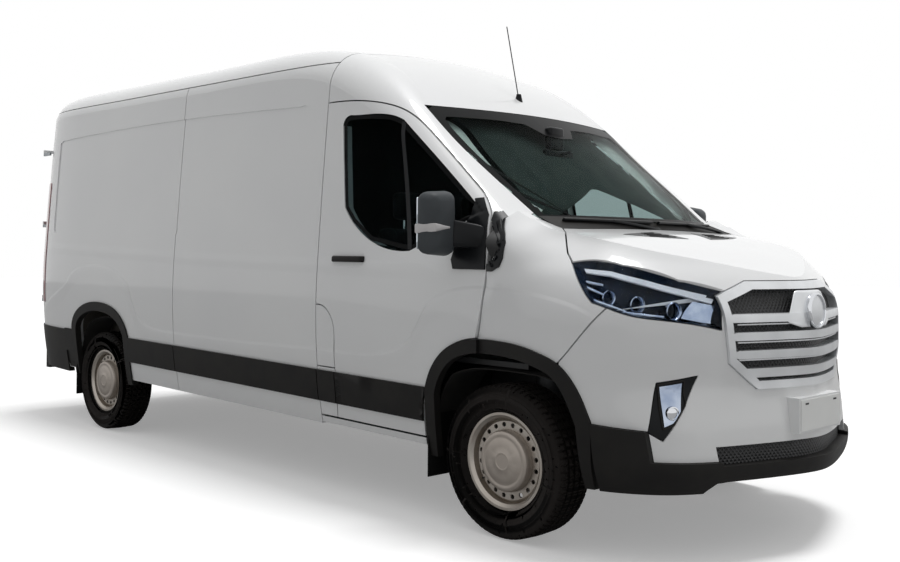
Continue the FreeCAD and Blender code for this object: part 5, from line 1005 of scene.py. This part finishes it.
mirror = {
    "front": [(1.750, 1.040, 1.290), (1.742, 1.180, 1.300), (1.744, 1.185, 1.562),
              (1.752, 1.048, 1.574)],
    "rear": [(1.655, 1.022, 1.268), (1.652, 1.230, 1.278), (1.652, 1.230, 1.580),
             (1.655, 1.026, 1.590)],
    "bevel": 0.040,
    "strip": [(0.34, 0.49), (0.40, 0.44)],
    "stripEnd": 0.66,
    "arm": [[(1.712, 0.985, 1.312), (1.884, 0.985, 1.312), (1.874, 0.985, 1.424),
             (1.735, 0.985, 1.424)],
            [(1.676, 1.080, 1.322), (1.742, 1.080, 1.322), (1.742, 1.070, 1.452),
             (1.680, 1.070, 1.452)]],
    "armBevel": 0.020,
}
doorBase = [((1.700, 1.217), (1.896, 1.217)), ((1.682, 1.260), (1.892, 1.260)),
            ((1.700, 1.330), (1.883, 1.330)), ((1.725, 1.380), (1.876, 1.380)),
            ((1.750, 1.430), (1.868, 1.430)), ((1.765, 1.470), (1.859, 1.470)),
            ((1.770, 1.510), (1.828, 1.510)), ((1.768, 1.545), (1.800, 1.548))]
fenderCap = [((1.913, 1.210), (1.948, 1.210)), ((1.908, 1.235), (1.995, 1.232)),
             ((1.905, 1.270), (2.012, 1.270)), ((1.897, 1.330), (2.014, 1.335)),
             ((1.890, 1.380), (1.992, 1.382)), ((1.886, 1.410), (1.965, 1.415)),
             ((1.880, 1.450), (1.932, 1.452)), ((1.872, 1.480), (1.896, 1.483))]
handle = {"from": 0.822, "to": 1.078, "z": 1.257, "height": 0.034, "proud": 0.023,
          "dish": [((0.840, 1.226), (0.840, 1.288)), ((0.870, 1.216), (0.870, 1.298)),
                   ((0.950, 1.212), (0.950, 1.302)), ((1.030, 1.216), (1.030, 1.298)),
                   ((1.060, 1.226), (1.060, 1.288))]}


def makeHandle(side, target, body, shift, tag):
    sign = sides[side]
    way = (0, -sign, 0)
    dish = startBand(sideRows(handle["dish"], sign, shift), 4, target, way, 0.0022, 0.003, 4)
    finishPiece(dish, "handleDish_" + tag, body, paint, 50)
    ends = []
    for x in (handle["from"], handle["to"]):
        for z in (-1, 1):
            at = (x + shift, sign * aside, handle["z"] + z * handle["height"] / 2)
            ends.append(dropPoint(target, at, way, 0.001))
    out = Vector((0, sign * handle["proud"], 0))
    back = Vector((0.020, 0, 0))
    low = Vector((0, 0, 0.004))
    corners = [ends[0], ends[0] + out + back + low, ends[1] + out + back - low, ends[1],
               ends[2], ends[2] + out - back + low, ends[3] + out - back - low, ends[3]]
    grip = startHull(corners, 0.006, 4)
    finishPiece(grip, "handleGrip_" + tag, body, blackTrim)


def makeFittings(side):
    sign = sides[side]
    body = "front_door_" + side
    front = [Vector((x, sign * y, z)) for x, y, z in mirror["front"]]
    rear = [Vector((x, sign * y, z)) for x, y, z in mirror["rear"]]
    head = startHull(rear + front, mirror["bevel"], 5)
    finishPiece(head, "mirrorHead_" + side, body, mirrorGrey, 40)
    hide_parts("door_fittings_" + side)
    strip = []
    for ring in (rear, front):
        (outLow, outHigh), (inLow, inHigh) = mirror["strip"]
        tip = [ring[1].lerp(ring[0], mirror["stripEnd"]),
               ring[2].lerp(ring[3], mirror["stripEnd"])]
        strip += [tip[0].lerp(tip[1], inLow), ring[1].lerp(ring[2], outLow),
                  ring[1].lerp(ring[2], outHigh), tip[0].lerp(tip[1], inHigh)]
    for k in (4, 5, 6, 7):
        strip[k] = strip[k] + Vector((0.0015, 0, 0))
    lamp = startHull(strip, 0.008, 4)
    finishPiece(lamp, "mirrorLamp_" + side, body, lampWhite, 40)
    for k, (a, b) in enumerate(((0.08, 0.40), (0.45, 0.93))):
        spots = [rear[0].lerp(rear[3], a), rear[1].lerp(rear[2], a), rear[1].lerp(rear[2], b),
                 rear[0].lerp(rear[3], b)]
        centre = sum(spots, Vector()) / 4
        spots = [centre + (p - centre) * 0.84 for p in spots]
        deep = Vector((0.004, 0, 0))
        pane = startHull([p - deep for p in spots] + [p + deep for p in spots], 0.003, 3)
        finishPiece(pane, "mirrorPane%d_%s" % (k, side), body, mirrorFace)
    corners = [Vector((x, sign * y, z)) for ring in mirror["arm"] for x, y, z in ring]
    arm = startHull(corners, mirror["armBevel"], 5)
    finishPiece(arm, "mirrorArm_" + side, body, gloveBlack, 50)

    way = (0, -sign, 0)
    skin = ("door_front_" + side, "door_glass_" + side)
    base = startBand(sideRows(doorBase, sign), 6, skin, way, 0.0100, 0.0120, 5)
    finishPiece(base, "mirrorBase_" + side, body, gloveBlack, 50)
    cover = startBand(sideRows(fenderCap, sign), 6, ("fenders", "cab_shell"), way, 0.0090, 0.0100,
                      5)
    finishPiece(cover, "fenderCap_" + side, "van", gloveBlack, 50)

    makeHandle(side, "door_front_" + side, body, 0.0, "front_" + side)
    moulding = copyPart("door_fittings_" + side, lambda face: face.center.z < 1.0)
    finishPiece(moulding, "doorStrip_" + side, body, blackTrim)


for side in sides:
    makeFittings(side)
makeHandle("left", "sliding_door", "van", -0.420, "sliding")
print("door fittings made")


# ---------- rear lamps, handles and the rail of the sliding door

reverse = [(1.060, 1.180), (1.190, 1.300)]
reverseAcross = (0.932, 0.955, 0.978)
for side in sides:
    sign = sides[side]
    for k, (low, high) in enumerate(reverse):
        rows = [((-ahead, sign * y, low), (-ahead, sign * y, high)) for y in reverseAcross]
        lens = startBand(rows, 4, "tail_lamps", (1, 0, 0), 0.0015, 0.003, 3)
        finish = lampWhite if k == 0 else lampBar
        finishPiece(lens, "tailSegment%d_%s" % (k, side), "van", finish, 50)

tailLens = {"heights": (0.884, 0.95, 1.10, 1.25, 1.36, 1.38, 1.42, 1.44, 1.60, 1.75, 1.822),
            "fore": -2.735, "aft": -2.905, "thick": 0.0045, "lift": 0.0055}
corner = {"heights": (0.385, 0.44, 0.50, 0.58, 0.665), "fore": -2.204, "aft": -2.345}
for side in sides:
    sign = sides[side]
    rows = sideRows([((tailLens["fore"], z), (tailLens["aft"], z))
                     for z in tailLens["heights"]], sign)
    skin = ("tail_lamps", "side_panels_" + side)
    lens = startBand(rows, 8, skin, (0, -sign, 0), tailLens["lift"], tailLens["thick"], 3)
    finishPiece(lens, "tailLens_" + side, "van", lampRed, 50)
    rows = sideRows([((corner["fore"], z), (corner["aft"], z)) for z in corner["heights"]], sign)
    fill = startBand(rows, 5, "side_panels_" + side, (0, -sign, 0), 0.0020, 0.0040, 4)
    finishPiece(fill, "cornerFill_" + side, "van", blackTrim, 50)

rearHandle = {"y": -0.075, "z": 1.105, "size": (0.022, 0.038, 0.150)}
spot = dropPoint("rear_door_right", (-ahead, rearHandle["y"], rearHandle["z"]), (1, 0, 0), 0.002)
piece = startBlock(spot, rearHandle["size"], 0.008, 4)
finishPiece(piece, "rearHandle", "rear_door_right", blackTrim)
spot = dropPoint("roof_panel", (-ahead, 0.0, 2.405), (1, 0, 0), 0.000)
piece = startBlock(spot, (0.020, 0.300, 0.028), 0.006, 4)
finishPiece(piece, "highBrakeLamp", "van", lampRed)

slide = {"places": (-2.42, -2.00, -1.60, -1.20, -0.85), "from": -2.4, "low": 1.205, "high": 1.250,
         "rise": 0.010 / 1.6}
railRows = [((x, slide["low"] + slide["rise"] * (x - slide["from"])),
             (x, slide["high"] + slide["rise"] * (x - slide["from"]))) for x in slide["places"]]
rail = startBand(sideRows(railRows, 1), 3, "side_panels_left", (0, -1, 0), 0.0035, 0.006, 8)
finishPiece(rail, "slidingRail", "van", gloveBlack, 50)
print("rear dressed")


# ---------- cab

seatPart = {
    "cushion": {"size": (0.470, 0.460, 0.105), "bevel": 0.034, "cap": 0.016,
                "channels": [0.145], "across": [-0.10]},
    "back": {"size": (0.095, 0.440, 0.600), "bevel": 0.032, "cap": 0.014,
             "channels": [0.140], "across": [0.16, -0.12]},
    "head": {"size": (0.075, 0.240, 0.155), "bevel": 0.028, "cap": 0.012,
             "channels": [], "across": []},
    "voxel": 0.011,
    "pressure": 4.0,
    "frames": 20,
    "channelDepth": 0.006,
    "channelWidth": 0.010,
}


def swellPad(name):
    # a padded form blown up by cloth simulation, its movement capped, then sewn down in lines
    values = seatPart[name]
    piece = startBlock((0, 0, 0), values["size"], values["bevel"], 4)
    for vertex in piece.data.vertices:
        for axis in range(3):
            if abs(vertex.co[axis]) < 1e-6:
                vertex.co[axis] = 0
    applyModifier(piece, "REMESH", mode="VOXEL", voxel_size=seatPart["voxel"])
    before = [vertex.co.copy() for vertex in piece.data.vertices]
    cloth = piece.modifiers.new("Cloth", "CLOTH")
    cloth.settings.use_pressure = True
    cloth.settings.uniform_pressure_force = seatPart["pressure"]
    cloth.settings.effector_weights.gravity = 0
    cloth.point_cache.frame_start = 1
    cloth.point_cache.frame_end = seatPart["frames"]
    for frameNumber in range(1, seatPart["frames"] + 1):
        bpy.context.scene.frame_set(frameNumber)
    bpy.context.view_layer.objects.active = piece
    bpy.ops.object.modifier_apply(modifier=cloth.name)
    for vertex, start in zip(piece.data.vertices, before):
        move = vertex.co - start
        if move.length > values["cap"]:
            vertex.co = start + move.normalized() * values["cap"]
    bpy.context.scene.frame_set(1)
    applyModifier(piece, "SUBSURF", levels=1, render_levels=1)
    width = seatPart["channelWidth"]
    flat = 2 if name == "cushion" else 0
    for vertex in piece.data.vertices:
        dent = 0
        for y in values["channels"]:
            dent = max(dent, math.exp(-((abs(vertex.co.y) - y) / width) ** 2))
        along = vertex.co.x if flat == 2 else vertex.co.z
        for at in values["across"]:
            if abs(vertex.co.y) < values["channels"][0]:
                dent = max(dent, math.exp(-((along - at) / width) ** 2))
        if vertex.normal[flat] > 0.5:
            vertex.co[flat] -= seatPart["channelDepth"] * dent
    return piece


def placePad(source, name, at, tilt, width, material):
    piece = source.copy()
    piece.data = source.data.copy()
    bpy.context.scene.collection.objects.link(piece)
    turn = Matrix.Rotation(math.radians(tilt), 4, "Y")
    piece.matrix_world = Matrix.Translation(at) @ turn @ Matrix.Diagonal((1, width, 1, 1))
    bpy.context.view_layer.update()
    finishPiece(piece, name, "van", material, 60)
    return piece


pads = {name: swellPad(name) for name in ("cushion", "back", "head")}
places = {"driver": (-0.440, 1.0), "middle": (0.115, 0.88), "outer": (0.545, 0.88)}
for place, (y, width) in places.items():
    cushion = placePad(pads["cushion"], "seatCushion_" + place, Vector((1.015, y, 0.757)), -3,
                       width, seatCloth)
    placePad(pads["back"], "seatBack_" + place, Vector((0.815, y, 1.140)), -2, width, seatCloth)
    placePad(pads["head"], "seatHead_" + place, Vector((0.815, y, 1.555)), -2, width, seatCloth)
    for side in (-0.05, 0.05):
        post = startTube([Vector((0.815, y + side, 1.42)), Vector((0.815, y + side, 1.46)),
                          Vector((0.815, y + side, 1.50))], 0.006)
        finishPiece(post, "headPost%d_%s" % (side > 0, place), "van", chrome)
    shell = startBlock((0.775, y, 1.10), (0.030, 0.40 * width, 0.62), 0.012)
    finishPiece(shell, "seatShell_" + place, "van", dashBlack)
    if place == "driver":
        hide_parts("driver_seat")
    if place == "middle":
        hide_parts("passenger_bench")
for pad in pads.values():
    bpy.data.objects.remove(pad)
plinth = startBlock((0.995, -0.440, 0.625), (0.400, 0.380, 0.120), 0.012)
finishPiece(plinth, "seatPlinth_driver", "van", dashBlack)
plinth = startBlock((0.995, 0.330, 0.625), (0.400, 0.780, 0.120), 0.012)
finishPiece(plinth, "seatPlinth_bench", "van", dashBlack)
print("seats made")

hood = startHull([(1.560, -0.600, 1.300), (1.560, -0.280, 1.300), (1.570, -0.320, 1.368),
                  (1.570, -0.560, 1.368), (1.740, -0.620, 1.300), (1.740, -0.260, 1.300),
                  (1.740, -0.340, 1.345), (1.740, -0.540, 1.345)], 0.016, 4)
finishPiece(hood, "instrumentHood", "van", dashBlack)
console = startHull([(1.520, -0.130, 1.000), (1.520, 0.130, 1.000), (1.560, 0.120, 1.300),
                     (1.560, -0.120, 1.300), (1.700, -0.150, 1.000), (1.700, 0.150, 1.000),
                     (1.700, 0.150, 1.310), (1.700, -0.150, 1.310)], 0.018, 4)
finishPiece(console, "centreConsole", "van", gloveBlack)
grab = startTube([Vector((1.640, 0.792, 1.585)), Vector((1.625, 0.768, 1.610)),
                  Vector((1.520, 0.752, 1.735)), Vector((1.480, 0.752, 1.775)),
                  Vector((1.465, 0.775, 1.800))], 0.012, 3)
finishPiece(grab, "grabHandle", "van", trimGrey)
print("cab dressed")


# ---------- plate slots

for k, y in enumerate((-0.135, 0.135)):
    slot = startBlock((2.9702, y, 0.652), (0.0012, 0.030, 0.0075), 0.0003, 1)
    finishPiece(slot, "plateSlot%d" % k, "van", gloveBlack)


# ---------- floor, light and camera

def makeFloorFinish():
    # smooth pale studio floor, lit a little for the camera alone so that it fades to white
    material, tree, shader = startMaterial("paleStudioFloor", "#EDEDED", {
        "Roughness": 0.9, "Specular IOR Level": 0.1})
    addGrain(tree, shader, 0.02, 0.0001)
    path = addNode(tree, "ShaderNodeLightPath")
    dim = addNode(tree, "ShaderNodeBsdfDiffuse")
    dim.inputs["Color"].default_value = toLinear("#B4B4B4")
    glow = addNode(tree, "ShaderNodeEmission")
    glow.inputs["Strength"].default_value = 0.30
    bright = addNode(tree, "ShaderNodeAddShader")
    tree.links.new(shader.outputs["BSDF"], bright.inputs[0])
    tree.links.new(glow.outputs["Emission"], bright.inputs[1])
    pick = addNode(tree, "ShaderNodeMixShader")
    tree.links.new(path.outputs["Is Camera Ray"], pick.inputs[0])
    tree.links.new(dim.outputs["BSDF"], pick.inputs[1])
    tree.links.new(bright.outputs["Shader"], pick.inputs[2])
    tree.links.new(pick.outputs["Shader"], tree.nodes["Material Output"].inputs["Surface"])
    return material


clearSelection()
bpy.ops.mesh.primitive_grid_add(x_subdivisions=4, y_subdivisions=4, size=80,
                                location=(0, 0, -0.0005))
floor = bpy.context.object
floor.name = "studioFloor"
floor.data.materials.append(makeFloorFinish())


def makeWorld():
    world = bpy.data.worlds.new("studioWorld")
    bpy.context.scene.world = world
    world.use_nodes = True
    tree = world.node_tree
    tree.nodes.clear()
    place = addNode(tree, "ShaderNodeTexCoord")
    split = addNode(tree, "ShaderNodeSeparateXYZ", {}, {"Vector": (place, "Generated")})
    height = addNode(tree, "ShaderNodeMapRange",
                     {"From Min": 0.15, "From Max": 1.0, "To Min": 0.05, "To Max": 0.75},
                     {"Value": (split, "Z")})
    soft = addNode(tree, "ShaderNodeBackground", {}, {"Strength": (height, "Result")})
    white = addNode(tree, "ShaderNodeBackground")
    for node in (soft, white):
        node.inputs["Color"].default_value = (1, 1, 1, 1)
    path = addNode(tree, "ShaderNodeLightPath")
    first = addNode(tree, "ShaderNodeMath", {"operation": "MAXIMUM"},
                    {0: (path, "Is Camera Ray"), 1: (path, "Is Glossy Ray")})
    seen = addNode(tree, "ShaderNodeMath", {"operation": "MAXIMUM"},
                   {0: (first, 0), 1: (path, "Is Transmission Ray")})
    pick = addNode(tree, "ShaderNodeMixShader", {}, {0: (seen, 0), 1: (soft, 0), 2: (white, 0)})
    addNode(tree, "ShaderNodeOutputWorld", {}, {"Surface": (pick, 0)})


makeWorld()
bpy.ops.object.light_add(type="SUN", location=(0, 4, 8),
                         rotation=(math.radians(-11), math.radians(5), 0))
sun = bpy.context.object
sun.data.energy = 1.7
sun.data.angle = math.radians(18)

view = {"place": (5.0060, -4.5244, 1.2903), "yaw": 138.2056, "pitch": 0.6437, "roll": 0.4650,
        "focal": 1025.033, "centre": (365.905, 241.215), "width": 900, "height": 562,
        "sensor": 36.0}
yaw, pitch, roll = (math.radians(view[key]) for key in ("yaw", "pitch", "roll"))
gaze = Vector((math.cos(yaw) * math.cos(pitch), math.sin(yaw) * math.cos(pitch),
               math.sin(pitch)))
level = Vector((math.sin(yaw), -math.cos(yaw), 0))
above = level.cross(gaze)
right = level * math.cos(roll) + above * math.sin(roll)
up = above * math.cos(roll) - level * math.sin(roll)
bpy.ops.object.camera_add()
camera = bpy.context.object
camera.matrix_world = Matrix.Translation(view["place"]) @ Matrix(
    (right, up, -gaze)).transposed().to_4x4()
camera.data.sensor_width = view["sensor"]
camera.data.lens = view["focal"] * view["sensor"] / view["width"]
camera.data.shift_x = (view["width"] / 2 - view["centre"][0]) / view["width"]
camera.data.shift_y = (view["centre"][1] - view["height"] / 2) / view["width"]
camera.data.clip_end = 200
bpy.context.scene.camera = camera
bpy.context.scene.view_settings.view_transform = "Standard"
print("stage and camera set")
